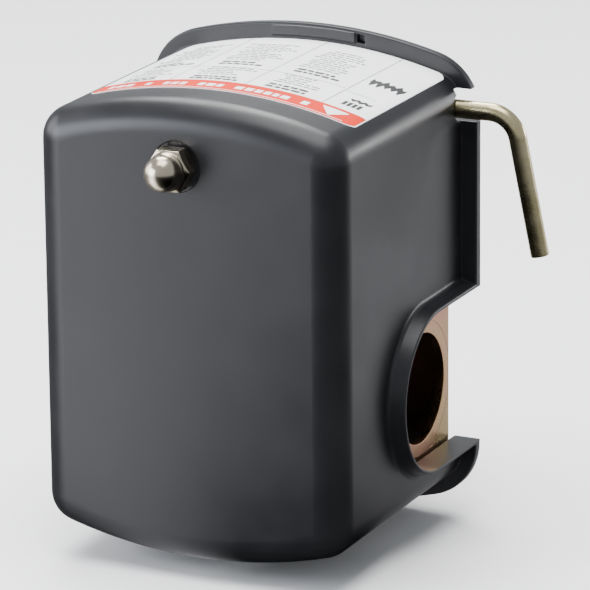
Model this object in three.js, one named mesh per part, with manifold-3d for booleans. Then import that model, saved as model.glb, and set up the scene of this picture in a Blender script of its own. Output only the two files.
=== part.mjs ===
// Pressure switch with a hooded plastic cover, a side cut-off lever and a rear pressure port.
// Millimetres, +Z up. The cover faces -Y, the port opens towards +Y, conduit enters along X.
// Everything is drawn in the base frame: y = 0 is the base plate's rear face and the port's
// axis is x = z = 0. The exported group then moves the port's end face to the origin.
import * as THREE from 'three';
import { mergeVertices } from 'three/addons/utils/BufferGeometryUtils.js';
import Module from 'manifold-3d';

const wasm = await Module();
wasm.setup();

// ---------------------------------------------------------------- driving dimensions
const GAP = 0.3; // air between pieces that touch on the real switch
const RUN = 0.15; // radial clearance of a shaft or stud in its hole

// Cover: a hood that is open at the rear, with crowned top and bottom.
const COVER = {
  halfWidth: 32.2,
  halfHeight: 45.7,
  crownRadius: 98,
  cornerRadius: 6.5,
  depth: 59.2,
  wall: 2.3,
  frontFillet: 6,
  flangeOut: 3.3,
  flangeCorner: 12,
  flangeThick: 2.1,
};
const CUTOUT = { y: -20.1, z: -17.1, radius: 15.9, lip: 1.3 }; // conduit cut-out in each side
const LEVER_NOTCH = { y: -3.3, z: 35.4, radius: 2.3, flangeTop: 39, flangeBottom: 32.6 };
const NUT_RECESS = { radius: 5, depth: 0.5 };

// Label stuck on the crowned top.
const LABEL = { xMin: -26.5, xMax: 29.3, yFront: -46.8, yRear: -2.6, corner: 2, thick: 0.25 };
const LABEL_GAP = 0.03;

// Frame: stamped base plate with two conduit ears and the pivot lugs.
const PLATE = { halfWidth: 29.4, halfHeight: 39, corner: 6, thick: 1.4 };
const EAR = { zMin: -36, zMax: 2.5, front: -32, corner: 5 };
// Half-inch conduit hole with a slightly raised seat for the locknut around it.
const CONDUIT = { radius: 11.1, y: -15.8, z: -18.8, seatRadius: 13.8, seatProud: 0.2 };
const LUG = { x: 18.7, front: -20, zMin: -20, zMax: -6, corner: 3 };

// Range and differential springs with their studs.
const RANGE = {
  x: -1.5, z: 33.5, studRadius: 2.3, studFront: -65.6, headRadius: 4.4,
  coilRadius: 6, wire: 2.2, turns: 6.5, top: -38,
  cupRadius: 7.5, pilotRadius: 4.5, nutFlats: 9.5, nutThick: 4.5,
};
const DIFFERENTIAL = {
  x: 15, z: 23, studRadius: 1.7, studFront: -34, headRadius: 2.9,
  coilRadius: 3.9, wire: 1.1, turns: 7.5, top: -24,
  cupRadius: 4.9, pilotRadius: 3, nutFlats: 7, nutThick: 3,
};

// Actuator lever: a pressed plate that the plunger lifts against the springs.
const ACTUATOR = { rear: -6.2, thick: 1.4, halfWidth: 18, pivotY: -10.2, pivotZ: -12, zTop: 40.2 };
const PIVOT_RADIUS = 1.5;

// Cut-off lever: one bent rod, turning about its long leg.
const ROD = {
  radius: 1.8, y: -3.5, z: 35.3, innerEnd: 2.6, flatEnd: 7.6, flatThick: 2.2, flatWide: 4.6,
  cornerX: 43.8, bendRadius: 6, endX: 49.6, endZ: 7.4, lugInner: 9.6, lugOuter: 25,
};

// Diaphragm housing and its plunger, behind the base plate.
const HOUSING = {
  radius: 24, front: 1.6, flangeRear: 4, domeRadius: 16.5, domeRear: 9, portFlats: 17.5,
  portRear: 23, portBore: 6.2, portDepth: 11, orifice: 1.6, cavityRadius: 14.5, cavityRear: 6.5,
};
const DIAPHRAGM = { radius: 17.8, front: 0.3, rear: 1.3, ridge: 13.5, ridgeDepth: 0.9 };
const PLUNGER = { radius: 8.3, bossRadius: 3, front: -5.9 };
const HOUSING_SCREW = { count: 6, circle: 20.2, radius: 1.5, headFlats: 5.5, headThick: 2 };

// Contact block and the parts that it carries.
const BLOCK = {
  halfWidth: 26, zMin: -38, zMax: -2, rear: -30, front: -39.7, ribFront: -48, ribTop: -14, wall: 1.6,
};
const LEG = { xMin: 21.5, lowerTop: -32.5, upperBottom: -7 };
const TERMINAL = {
  xs: [-18.9, -6.5, 6.5, 18.9], halfWidth: 4.6, zMin: -36, zMax: -17.5, thick: 1.2, screwZ: -22,
  postZ: -31, postHalfX: 1.8, postHalfZ: 1.2, contactRadius: 1.9, contactRear: -27.8,
};
const CLAMP = { half: 4, thick: 1 };
const TERMINAL_SCREW = { radius: 1.7, headRadius: 3.4, headThick: 2.5, slot: 0.9, tip: -33 };
const BLOCK_SCREW = { x: 23.8, z: -35.2, radius: 1.5, headRadius: 2.8, headThick: 2, tip: -9 };
const GROUND_SCREW = { x: 25.3, z: 12, radius: 1.9, headFlats: 6, headThick: 2.6, rear: 1.2 };

// Moving contacts: an insulating carrier with one bridge for each pole.
const CARRIER = {
  pivotY: -16.5, pivotZ: -14, pinRadius: 1.4, pinHalfLength: 21, bossRadius: 3, halfWidth: 21.1,
  front: -25.1, rear: -21.6, zMin: -34, zMax: -28, armInner: 12, armOuter: 15,
};
const BRIDGE = { centre: 12.7, halfLength: 8.3, halfHeight: 2.2, thick: 1.2 };
const SNAP_SPRING = { from: [0, -9.7, -21], to: [0, -19.6, -27], radius: 1.9, wire: 0.8, turns: 5 };

const CAP_NUT = {
  flats: 8, hexThick: 4.3, chamfer: 0.55, domeRadius: 3.5, domeCentre: 5.9, boreDepth: 7.2,
};

// ---------------------------------------------------------------- finishes
const FINISH = {
  coverPlastic: { color: 0x33353a, roughness: 0.45, metalness: 0 },
  label: { color: 0xf2f2f0, roughness: 0.4, metalness: 0 },
  nickel: { color: 0xc9c6bd, roughness: 0.2, metalness: 1 },
  yellowZinc: { color: 0xb79a62, roughness: 0.35, metalness: 1 },
  whiteZinc: { color: 0xaeb1b3, roughness: 0.4, metalness: 1 },
  springSteel: { color: 0x8d8f92, roughness: 0.35, metalness: 1 },
  phenolic: { color: 0x1d1c1b, roughness: 0.5, metalness: 0 },
  brass: { color: 0xc29a4c, roughness: 0.3, metalness: 1 },
  greenZinc: { color: 0x2f7a45, roughness: 0.4, metalness: 0.6 },
  rubber: { color: 0x1a1a1a, roughness: 0.85, metalness: 0 },
};

// ---------------------------------------------------------------- solid helpers
/** Manifold solid of a closed geometry; triangles that collapse to a line are left out. */
function solid(geometry) {
  geometry.deleteAttribute('normal');
  geometry.deleteAttribute('uv');
  const merged = mergeVertices(geometry, 1e-4);
  const corners = merged.index.array;
  const triangles = [];
  for (let i = 0; i < corners.length; i += 3) {
    const [a, b, c] = corners.slice(i, i + 3);
    if (a !== b && b !== c && c !== a) triangles.push(a, b, c);
  }
  return new wasm.Manifold(new wasm.Mesh({
    numProp: 3,
    vertProperties: new Float32Array(merged.attributes.position.array),
    triVerts: new Uint32Array(triangles),
  }));
}

/** BufferGeometry of a Manifold solid. */
function geometryOf(body) {
  const mesh = body.getMesh();
  const geometry = new THREE.BufferGeometry();
  geometry.setAttribute('position', new THREE.BufferAttribute(mesh.vertProperties, 3));
  geometry.setIndex(new THREE.BufferAttribute(mesh.triVerts, 1));
  geometry.computeVertexNormals();
  return geometry;
}

function join(...bodies) {
  return bodies.reduce((whole, body) => whole.add(body));
}

function cut(body, ...tools) {
  return tools.reduce((whole, tool) => whole.subtract(tool), body);
}

function block(x0, x1, y0, y1, z0, z1) {
  const box = new THREE.BoxGeometry(x1 - x0, y1 - y0, z1 - z0);
  box.translate((x0 + x1) / 2, (y0 + y1) / 2, (z0 + z1) / 2);
  return solid(box);
}

/** Round bar parallel to Y. */
function barY(radius, x, z, y0, y1, sides = 24) {
  const bar = new THREE.CylinderGeometry(radius, radius, y1 - y0, sides);
  return solid(bar.translate(x, (y0 + y1) / 2, z));
}

/** Round bar parallel to X. */
function barX(radius, y, z, x0, x1, sides = 24) {
  const bar = new THREE.CylinderGeometry(radius, radius, x1 - x0, sides).rotateZ(Math.PI / 2);
  return solid(bar.translate((x0 + x1) / 2, y, z));
}

/** Hexagonal bar parallel to Y with corners towards +X and -X, given across its flats. */
function hexY(flats, x, z, y0, y1) {
  const corner = flats / Math.sqrt(3);
  const hex = new THREE.CylinderGeometry(corner, corner, y1 - y0, 6, 1, false, Math.PI / 6);
  return solid(hex.translate(x, (y0 + y1) / 2, z));
}

/** Turned solid about an axis parallel to Y; the profile holds [radius, y] points. */
function turnedY(profile, x, z, sides = 32) {
  const points = profile.map(([radius, y]) => new THREE.Vector2(radius, y));
  return solid(new THREE.LatheGeometry(points, sides).translate(x, 0, z));
}

/** Plate cut from a shape in the X-Z plane, reaching from y0 to y1. */
function plateXZ(shape, y0, y1, curveSegments = 3) {
  const plate = new THREE.ExtrudeGeometry(shape, { depth: y1 - y0, bevelEnabled: false, curveSegments });
  return solid(plate.rotateX(Math.PI / 2).translate(0, y1, 0));
}

/** Plate cut from a shape in the Y-Z plane, reaching from x0 to x1. */
function plateYZ(shape, x0, x1, curveSegments = 3) {
  const plate = new THREE.ExtrudeGeometry(shape, { depth: x1 - x0, bevelEnabled: false, curveSegments });
  const turn = new THREE.Matrix4().makeBasis(
    new THREE.Vector3(0, 1, 0), new THREE.Vector3(0, 0, 1), new THREE.Vector3(1, 0, 0));
  return solid(plate.applyMatrix4(turn).translate(x0, 0, 0));
}

/** Rectangle with rounded corners, as a shape. */
function roundedRectangle(u0, u1, v0, v1, radius) {
  const shape = new THREE.Shape();
  shape.absarc(u1 - radius, v1 - radius, radius, 0, Math.PI / 2);
  shape.absarc(u0 + radius, v1 - radius, radius, Math.PI / 2, Math.PI);
  shape.absarc(u0 + radius, v0 + radius, radius, Math.PI, 1.5 * Math.PI);
  shape.absarc(u1 - radius, v0 + radius, radius, 1.5 * Math.PI, 2 * Math.PI);
  return shape;
}

function circleShape(u, v, radius) {
  return new THREE.Shape().absarc(u, v, radius, 0, 2 * Math.PI);
}

/** Wire of round section swept along a curve. */
function wire(curve, radius, steps, sides = 8) {
  const section = circleShape(0, 0, radius);
  const options = { steps, extrudePath: curve, bevelEnabled: false, curveSegments: sides / 2 };
  return solid(new THREE.ExtrudeGeometry(section, options));
}

const COIL_STEPS = 12; // straight pieces in one turn of a spring

/** Helix between two points, with closed end coils. */
class CoilCurve extends THREE.Curve {
  constructor(from, to, radius, turns, wireSize) {
    super();
    this.from = new THREE.Vector3(...from);
    this.length = this.from.distanceTo(new THREE.Vector3(...to));
    this.axis = new THREE.Vector3(...to).sub(this.from).normalize();
    this.u = new THREE.Vector3(1, 0, 0);
    this.v = new THREE.Vector3().crossVectors(this.axis, this.u);
    Object.assign(this, { radius, turns, wireSize });
  }

  /** Share of the pitch travel at turn count n: the end coils lie wire against wire. */
  rise(n) {
    const closedPitch = this.wireSize * 1.04;
    const openPitch = (this.length - 2 * closedPitch) / (this.turns - 2);
    const open = THREE.MathUtils.clamp(n - 1, 0, this.turns - 2);
    const closed = Math.min(n, 1) + Math.max(n - this.turns + 1, 0);
    return closed * closedPitch + open * openPitch;
  }

  getPoint(t, target = new THREE.Vector3()) {
    const n = t * this.turns;
    const angle = 2 * Math.PI * n;
    return target.copy(this.from)
      .addScaledVector(this.axis, this.rise(n))
      .addScaledVector(this.u, this.radius * Math.cos(angle))
      .addScaledVector(this.v, this.radius * Math.sin(angle));
  }
}

// ---------------------------------------------------------------- cover outline
const CORNER_STEPS = 5;
const CROWN_STEPS = 14;
const FILLET_STEPS = 4;

/** Outline points [x, z] of the cover, drawn inwards by inset, anticlockwise from the right. */
function coverOutline(inset, cornerRadius = COVER.cornerRadius) {
  const { halfWidth, halfHeight, crownRadius } = COVER;
  const crownCentre = halfHeight - crownRadius;
  const cornerX = halfWidth - cornerRadius;
  const reach = crownRadius - cornerRadius;
  const cornerZ = crownCentre + Math.sqrt(reach ** 2 - cornerX ** 2);
  const lean = Math.asin(cornerX / reach);
  const quarter = [];
  for (let i = 0; i <= CORNER_STEPS; i += 1) {
    const angle = (Math.PI / 2 - lean) * (i / CORNER_STEPS);
    const radius = cornerRadius - inset;
    quarter.push([cornerX + radius * Math.cos(angle), cornerZ + radius * Math.sin(angle)]);
  }
  for (let i = 1; i <= CROWN_STEPS / 2; i += 1) {
    const angle = lean * (1 - 2 * i / CROWN_STEPS);
    const radius = crownRadius - inset;
    quarter.push([radius * Math.sin(angle), crownCentre + radius * Math.cos(angle)]);
  }
  const topLeft = quarter.slice(0, -1).reverse().map(([x, z]) => [-x, z]);
  const top = [...quarter, ...topLeft];
  return [...top, ...[...top].map(([x, z]) => [-x, -z])];
}

/** Closed loft through rings of equal length; each ring is a list of [x, y, z]. */
function loft(rings) {
  const count = rings[0].length;
  const positions = rings.flat(2);
  const triangles = [];
  for (let r = 0; r < rings.length - 1; r += 1) {
    for (let i = 0; i < count; i += 1) {
      const a = r * count + i;
      const b = r * count + (i + 1) % count;
      triangles.push(a, b, b + count, a, b + count, a + count);
    }
  }
  const last = (rings.length - 1) * count;
  for (let i = 1; i < count - 1; i += 1) {
    triangles.push(0, i + 1, i);
    triangles.push(last, last + i, last + i + 1);
  }
  const geometry = new THREE.BufferGeometry();
  geometry.setAttribute('position', new THREE.Float32BufferAttribute(positions, 3));
  geometry.setIndex(triangles);
  return solid(geometry);
}

/** Hood-shaped solid: the outline from the rear plane, closed by a filleted front. */
function hood(inset, rear, front, fillet) {
  const rings = [coverOutline(inset).map(([x, z]) => [x, rear, z])];
  for (let i = 0; i <= FILLET_STEPS; i += 1) {
    const angle = (Math.PI / 2) * (i / FILLET_STEPS);
    const y = front + fillet * (1 - Math.sin(angle));
    const pull = inset + fillet * (1 - Math.cos(angle));
    rings.push(coverOutline(pull).map(([x, z]) => [x, y, z]));
  }
  return loft(rings);
}

/** Straight prism on the cover's outline. */
function outlinePrism(inset, y0, y1, cornerRadius) {
  return loft([y1, y0].map((y) => coverOutline(inset, cornerRadius).map(([x, z]) => [x, y, z])));
}

/** U-shaped outline in the Y-Z plane: round towards the front and square at the rear. */
function openSlot(y, z, radius, rear) {
  const shape = new THREE.Shape();
  shape.absarc(y, z, radius, Math.PI / 2, 1.5 * Math.PI);
  shape.lineTo(rear, z - radius);
  shape.lineTo(rear, z + radius);
  return shape;
}

function cutoutShape(radius, rear) {
  return openSlot(CUTOUT.y, CUTOUT.z, radius, rear);
}

/** Slot for the lever in the side wall, which opens out to a wider gap in the flange. */
function notchShape() {
  const { y, z, radius, flangeTop, flangeBottom } = LEVER_NOTCH;
  const shape = new THREE.Shape();
  shape.absarc(y, z, radius, Math.PI / 2, 1.5 * Math.PI);
  shape.lineTo(y, flangeBottom);
  shape.lineTo(1, flangeBottom);
  shape.lineTo(1, flangeTop);
  shape.lineTo(y, flangeTop);
  return shape;
}

// ---------------------------------------------------------------- cover group
function makeCover() {
  const { halfWidth, depth, wall, frontFillet, flangeOut, flangeThick, flangeCorner } = COVER;
  const outside = hood(0, 0, -depth, frontFillet);
  const flange = outlinePrism(-flangeOut, -flangeThick, 0, flangeCorner - flangeOut);
  const inside = hood(wall, 1, wall - depth, frontFillet - wall);
  const lipReach = halfWidth + flangeOut;
  const lips = [1, -1].map((side) => {
    const near = side * (halfWidth - 1);
    const far = side * lipReach;
    const shape = cutoutShape(CUTOUT.radius + CUTOUT.lip, 0);
    return plateYZ(shape, Math.min(near, far), Math.max(near, far), 16);
  });
  const boss = barY(5, RANGE.x, RANGE.z, wall - depth - 0.5, wall - depth + 1.5);
  const opening = plateYZ(cutoutShape(CUTOUT.radius, 1), -lipReach - 1, lipReach + 1, 16);
  const notch = plateYZ(notchShape(), halfWidth - wall - 1, lipReach + 1, 6);
  const studHole = barY(RANGE.studRadius + 0.6, RANGE.x, RANGE.z, -depth - 1, 0);
  const recess = barY(NUT_RECESS.radius, RANGE.x, RANGE.z, -depth - 1, NUT_RECESS.depth - depth, 32);
  const shell = cut(join(outside, flange, ...lips), inside);
  return cut(join(shell, boss), opening, notch, studHole, recess);
}

function makeLabel() {
  const { xMin, xMax, yFront, yRear, corner, thick } = LABEL;
  const skin = cut(
    outlinePrism(-LABEL_GAP - thick, yFront - 1, yRear + 1),
    outlinePrism(-LABEL_GAP, yFront - 2, yRear + 2));
  const sheet = new THREE.ExtrudeGeometry(
    roundedRectangle(xMin, xMax, yFront, yRear, corner),
    { depth: COVER.halfHeight, bevelEnabled: false, curveSegments: 5 });
  return skin.intersect(solid(sheet.translate(0, 0, COVER.halfHeight / 2)));
}

/** Domed cap nut with a blind bore, its seat at the bottom of the cover's recess. */
function makeCapNut() {
  const seat = NUT_RECESS.depth - COVER.depth - GAP;
  const { flats, hexThick, chamfer, domeRadius, domeCentre, boreDepth } = CAP_NUT;
  const corner = flats / Math.sqrt(3);
  const body = hexY(flats, RANGE.x, RANGE.z, seat - hexThick, seat);
  const chamferCone = turnedY([
    [0, seat], [corner - chamfer, seat], [corner, seat - chamfer],
    [corner, seat - hexThick + chamfer], [corner - 2 * chamfer, seat - hexThick],
    [0, seat - hexThick],
  ].reverse(), RANGE.x, RANGE.z, 36);
  const dome = [[0, seat - 1], [domeRadius + 0.4, seat - 1], [domeRadius + 0.4, seat - hexThick - 0.3],
    [domeRadius, seat - hexThick - 0.6]];
  const domeSteps = 6;
  for (let i = 0; i <= domeSteps; i += 1) {
    const angle = (Math.PI / 2) * (i / domeSteps);
    dome.push([domeRadius * Math.cos(angle), seat - domeCentre - domeRadius * Math.sin(angle)]);
  }
  const bore = barY(RANGE.studRadius + 2 * RUN, RANGE.x, RANGE.z, seat - boreDepth, seat + 1);
  return cut(join(body.intersect(chamferCone), turnedY(dome.reverse(), RANGE.x, RANGE.z, 24)), bore);
}

// ---------------------------------------------------------------- frame
function makeFrame() {
  const { halfWidth, halfHeight, corner, thick } = PLATE;
  const base = plateXZ(roundedRectangle(-halfWidth, halfWidth, -halfHeight, halfHeight, corner), -thick, 0);
  const solids = [base];
  const earShape = roundedRectangle(EAR.front, 0, EAR.zMin, EAR.zMax, EAR.corner);
  const lugShape = roundedRectangle(LUG.front, -thick / 2, LUG.zMin, LUG.zMax, LUG.corner);
  const rodLugShape = roundedRectangle(ROD.y - 4.2, -thick / 2, ROD.z - 3.6, ROD.z + 3.6, 3);
  for (const side of [1, -1]) {
    const ear = [side * halfWidth, side * (halfWidth - thick)];
    solids.push(plateYZ(earShape, Math.min(...ear), Math.max(...ear)));
    solids.push(block(...ear.sort((a, b) => a - b), EAR.front / 2, 0, EAR.zMin, EAR.zMax));
    const seat = [side * (halfWidth - thick / 2), side * (halfWidth + CONDUIT.seatProud)];
    solids.push(barX(CONDUIT.seatRadius, CONDUIT.y, CONDUIT.z, ...seat.sort((a, b) => a - b), 40));
    const lug = [side * LUG.x, side * (LUG.x + thick)];
    solids.push(plateYZ(lugShape, Math.min(...lug), Math.max(...lug)));
    solids.push(block(...lug.sort((a, b) => a - b), LUG.front / 2, -thick / 2, LUG.zMin, LUG.zMax));
  }
  for (const x of [ROD.lugInner, ROD.lugOuter]) {
    solids.push(plateYZ(rodLugShape, x, x + thick));
    solids.push(block(x, x + thick, ROD.y, -thick / 2, ROD.z - 3.6, ROD.z + 3.6));
  }
  const holes = [
    barX(CONDUIT.radius, CONDUIT.y, CONDUIT.z, -40, 40, 40),
    barX(PIVOT_RADIUS + RUN, ACTUATOR.pivotY, ACTUATOR.pivotZ, -25, 25, 16),
    barX(CARRIER.pinRadius + RUN, CARRIER.pivotY, CARRIER.pivotZ, -25, 25, 16),
    barX(ROD.radius + RUN, ROD.y, ROD.z, 0, 30, 16),
    barY(PLUNGER.radius + 0.5, 0, 0, -5, 1, 40),
    barY(RANGE.studRadius + RUN, RANGE.x, RANGE.z, -5, 1, 16),
    barY(DIFFERENTIAL.studRadius + RUN, DIFFERENTIAL.x, DIFFERENTIAL.z, -5, 1, 16),
    ...housingScrewPlaces().map(([x, z]) => barY(HOUSING_SCREW.radius + RUN, x, z, -5, 1, 16)),
    ...mirrored(BLOCK_SCREW).map(([x, z]) => barY(BLOCK_SCREW.radius + RUN, x, z, -5, 1, 16)),
    ...mirrored(GROUND_SCREW).map(([x, z]) => barY(GROUND_SCREW.radius + RUN, x, z, -5, 1, 16)),
  ];
  return cut(join(...solids), ...holes);
}

/** The places [x, z] of a pair of screws, mirrored left to right. */
function mirrored({ x, z }) {
  return [[-x, z], [x, z]];
}

function housingScrewPlaces() {
  const places = [];
  for (let i = 0; i < HOUSING_SCREW.count; i += 1) {
    const angle = (2 * Math.PI * i) / HOUSING_SCREW.count;
    places.push([HOUSING_SCREW.circle * Math.cos(angle), HOUSING_SCREW.circle * Math.sin(angle)]);
  }
  return places;
}

// ---------------------------------------------------------------- pressure side
function makeHousing() {
  const { radius, front, flangeRear, domeRadius, domeRear, portFlats, portRear } = HOUSING;
  const { portBore, portDepth, orifice, cavityRadius, cavityRear } = HOUSING;
  const cup = turnedY([
    [0, front], [radius, front], [radius, flangeRear], [domeRadius, flangeRear],
    [domeRadius - 1, domeRear - 1], [domeRadius - 3, domeRear], [0, domeRear],
  ], 0, 0, 36);
  const port = hexY(portFlats, 0, 0, domeRear - 1, portRear);
  const tools = [
    barY(cavityRadius, 0, 0, front - 1, cavityRear, 32),
    barY(orifice, 0, 0, front - 1, portRear, 12),
    barY(portBore, 0, 0, portRear - portDepth, portRear + 1, 24),
    ...housingScrewPlaces().map(([x, z]) => barY(HOUSING_SCREW.radius + RUN, x, z, 0, 5, 16)),
  ];
  return cut(join(cup, port), ...tools);
}

function makeDiaphragm() {
  const { radius, front, rear, ridge, ridgeDepth } = DIAPHRAGM;
  return turnedY([
    [0, front], [radius, front], [radius, rear], [ridge, rear],
    [ridge - ridgeDepth, rear + ridgeDepth], [ridge - 2 * ridgeDepth, rear], [0, rear],
  ], 0, 0, 36);
}

function makePlunger() {
  const { radius, bossRadius, front } = PLUNGER;
  return turnedY([
    [0, front], [bossRadius - 0.6, front], [bossRadius, front + 0.6], [bossRadius, -1.9],
    [radius, -1.9], [radius, 0], [0, 0],
  ], 0, 0, 32);
}

function makeHousingScrew(x, z) {
  const { radius, headFlats, headThick } = HOUSING_SCREW;
  const seat = HOUSING.flangeRear + GAP;
  return join(hexY(headFlats, x, z, seat, seat + headThick), barY(radius, x, z, -3.4, seat + 1, 16));
}

// ---------------------------------------------------------------- springs and studs
function makeStud({ x, z, studRadius, studFront, headRadius }) {
  const head = barY(headRadius, x, z, GAP, GAP + 1.4, 24);
  return join(head, barY(studRadius, x, z, studFront, GAP + 0.5, 24));
}

function makeCoil({ x, z, coilRadius, wire: wireSize, turns, top }) {
  const seat = ACTUATOR.rear - ACTUATOR.thick - GAP - wireSize / 2;
  const from = [x, seat, z];
  const to = [x, top + wireSize / 2, z];
  const curve = new CoilCurve(from, to, coilRadius, turns, wireSize);
  return wire(curve, wireSize / 2, Math.round(turns * COIL_STEPS), 6);
}

function makeCup({ x, z, studRadius, cupRadius, pilotRadius, top }) {
  const seat = top - GAP;
  const profile = [
    [studRadius + RUN, seat - 1.2], [cupRadius, seat - 1.2], [cupRadius, seat],
    [pilotRadius, seat], [pilotRadius - 0.4, seat + 2.5], [studRadius + RUN, seat + 2.5],
  ];
  return turnedY([...profile, profile[0]], x, z, 24);
}

function makeAdjustingNut({ x, z, studRadius, nutFlats, nutThick, top }) {
  const seat = top - 2 * GAP - 1.2;
  const bore = barY(studRadius + RUN, x, z, seat - nutThick - 1, seat + 1, 24);
  return cut(hexY(nutFlats, x, z, seat - nutThick, seat), bore);
}

/** Small coil that snaps the contact carrier over, lying between lever and carrier. */
function makeSnapSpring() {
  const { from, to, radius, wire: wireSize, turns } = SNAP_SPRING;
  return wire(new CoilCurve(from, to, radius, turns, wireSize), wireSize / 2, turns * COIL_STEPS, 6);
}

// ---------------------------------------------------------------- levers
function makeActuator() {
  const { rear, thick, halfWidth, pivotY, pivotZ, zTop } = ACTUATOR;
  const front = rear - thick;
  const outline = new THREE.Shape([
    [-halfWidth, -16], [halfWidth, -16], [halfWidth, 14], [20.5, 17], [20.5, 28.5],
    [8.4, 28.5], [8.4, zTop - 4], [5, zTop], [-8, zTop], [-12, zTop - 4], [-12, 28], [-halfWidth, 20],
  ].map(([x, z]) => new THREE.Vector2(x, z)));
  const plate = plateXZ(outline, front, rear);
  const finger = block(-2.5, 2.5, front, rear, -23, -15);
  const side = new THREE.Shape([
    [rear, -16], [rear, 13], [front - 1, 13], [front - 3, 8], [front - 3, -6], [pivotY - 3.4, pivotZ + 3],
    [pivotY - 3.4, pivotZ - 2], [pivotY - 2, pivotZ - 4],
  ].map(([y, z]) => new THREE.Vector2(y, z)).reverse());
  const flanges = [1, -1].map((hand) => {
    const edges = [hand * halfWidth, hand * (halfWidth - thick)].sort((a, b) => a - b);
    return plateYZ(side, ...edges);
  });
  const holes = [
    barX(PIVOT_RADIUS + RUN, pivotY, pivotZ, -25, 25, 16),
    barY(RANGE.studRadius + 0.9, RANGE.x, RANGE.z, front - 1, rear + 1, 24),
    barY(DIFFERENTIAL.studRadius + 0.7, DIFFERENTIAL.x, DIFFERENTIAL.z, front - 1, rear + 1, 16),
  ];
  return cut(join(plate, finger, ...flanges), ...holes);
}

function makePivotPin() {
  const reach = LUG.x + PLATE.thick + 1.2;
  return barX(PIVOT_RADIUS, ACTUATOR.pivotY, ACTUATOR.pivotZ, -reach, reach, 16);
}

/** Bent rod: a flattened tip, the long leg, one rounded bend and the hanging handle. */
function makeCutoffLever() {
  const { radius, y, z, innerEnd, flatEnd, flatThick, flatWide } = ROD;
  const { cornerX, bendRadius, endX, endZ } = ROD;
  const corner = new THREE.Vector3(cornerX, y, z);
  const end = new THREE.Vector3(endX, y, endZ);
  const down = end.clone().sub(corner).normalize();
  const turn = Math.acos(down.x);
  const setback = bendRadius * Math.tan(turn / 2);
  const path = new THREE.CurvePath();
  const bendStart = corner.clone().setX(cornerX - setback);
  const bendEnd = corner.clone().addScaledVector(down, setback);
  path.add(new THREE.LineCurve3(new THREE.Vector3(flatEnd - 1, y, z), bendStart));
  path.add(new BendCurve(bendStart, bendRadius, turn));
  path.add(new THREE.LineCurve3(bendEnd, end));
  const rod = wire(path, radius, 36, 12);
  const tip = plateYZ(
    roundedRectangle(y - flatThick / 2, y + flatThick / 2, z - flatWide / 2, z + flatWide / 2, 0.9),
    innerEnd, flatEnd, 4);
  return join(rod, tip);
}

/** Arc that starts along +X and turns downwards in the X-Z plane. */
class BendCurve extends THREE.Curve {
  constructor(start, radius, turn) {
    super();
    Object.assign(this, { start, radius, turn });
  }

  getPoint(t, target = new THREE.Vector3()) {
    const angle = this.turn * t;
    const x = this.start.x + this.radius * Math.sin(angle);
    const z = this.start.z - this.radius * (1 - Math.cos(angle));
    return target.set(x, this.start.y, z);
  }
}

// ---------------------------------------------------------------- contacts
function makeContactBlock() {
  const { halfWidth, zMin, zMax, rear, front, ribFront, ribTop, wall } = BLOCK;
  const footing = -PLATE.thick - GAP;
  const solids = [block(-halfWidth, halfWidth, front, rear, zMin, zMax)];
  for (const x of [-halfWidth + wall / 2, -12.7, 0, 12.7, halfWidth - wall / 2]) {
    solids.push(block(x - wall / 2, x + wall / 2, ribFront, rear, zMin, ribTop));
  }
  solids.push(block(-halfWidth, halfWidth, front - 3, rear, ribTop, ribTop + 2.5));
  for (const side of [1, -1]) {
    const [x0, x1] = [side * LEG.xMin, side * halfWidth].sort((a, b) => a - b);
    solids.push(block(x0, x1, rear - 1, footing, zMin, LEG.lowerTop));
    solids.push(block(x0, x1, rear - 1, footing, LEG.upperBottom, zMax));
  }
  const tools = [];
  for (const x of TERMINAL.xs) {
    const { postHalfX, postHalfZ, postZ, screwZ } = TERMINAL;
    const grow = 0.35;
    tools.push(block(x - postHalfX - grow, x + postHalfX + grow, front - 1, rear + 1,
      postZ - postHalfZ - grow, postZ + postHalfZ + grow));
    tools.push(barY(TERMINAL_SCREW.radius + RUN, x, screwZ, front - 1, rear + 1, 16));
  }
  for (const [x, z] of mirrored(BLOCK_SCREW)) {
    tools.push(barY(BLOCK_SCREW.radius + RUN, x, z, BLOCK_SCREW.tip - 0.5, 0, 16));
  }
  return cut(join(...solids), ...tools);
}

function makeTerminal(x) {
  const { halfWidth, zMin, zMax, thick, screwZ } = TERMINAL;
  const { postZ, postHalfX, postHalfZ, contactRadius, contactRear } = TERMINAL;
  const seat = BLOCK.front - GAP;
  const outline = roundedRectangle(x - halfWidth, x + halfWidth, zMin, zMax, 1);
  const plate = plateXZ(outline, seat - thick, seat, 2);
  const postEnd = contactRear - 0.9;
  const post = block(
    x - postHalfX, x + postHalfX, seat - thick, postEnd, postZ - postHalfZ, postZ + postHalfZ);
  const contact = barY(contactRadius, x, postZ, postEnd - 0.1, contactRear, 20);
  const hole = barY(TERMINAL_SCREW.radius + RUN, x, screwZ, seat - thick - 1, seat + 1, 16);
  return cut(join(plate, post, contact), hole);
}

/** Saddle washer that clamps a wire under the terminal screw. */
function makeClamp(x) {
  const seat = BLOCK.front - 2 * GAP - TERMINAL.thick;
  const { half, thick } = CLAMP;
  const z = TERMINAL.screwZ;
  const outline = roundedRectangle(x - half, x + half, z - half, z + half, 0.8);
  const plate = plateXZ(outline, seat - thick, seat, 2);
  const hole = barY(TERMINAL_SCREW.radius + RUN, x, z, seat - thick - 1, seat + 1, 16);
  return cut(plate, hole);
}

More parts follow.
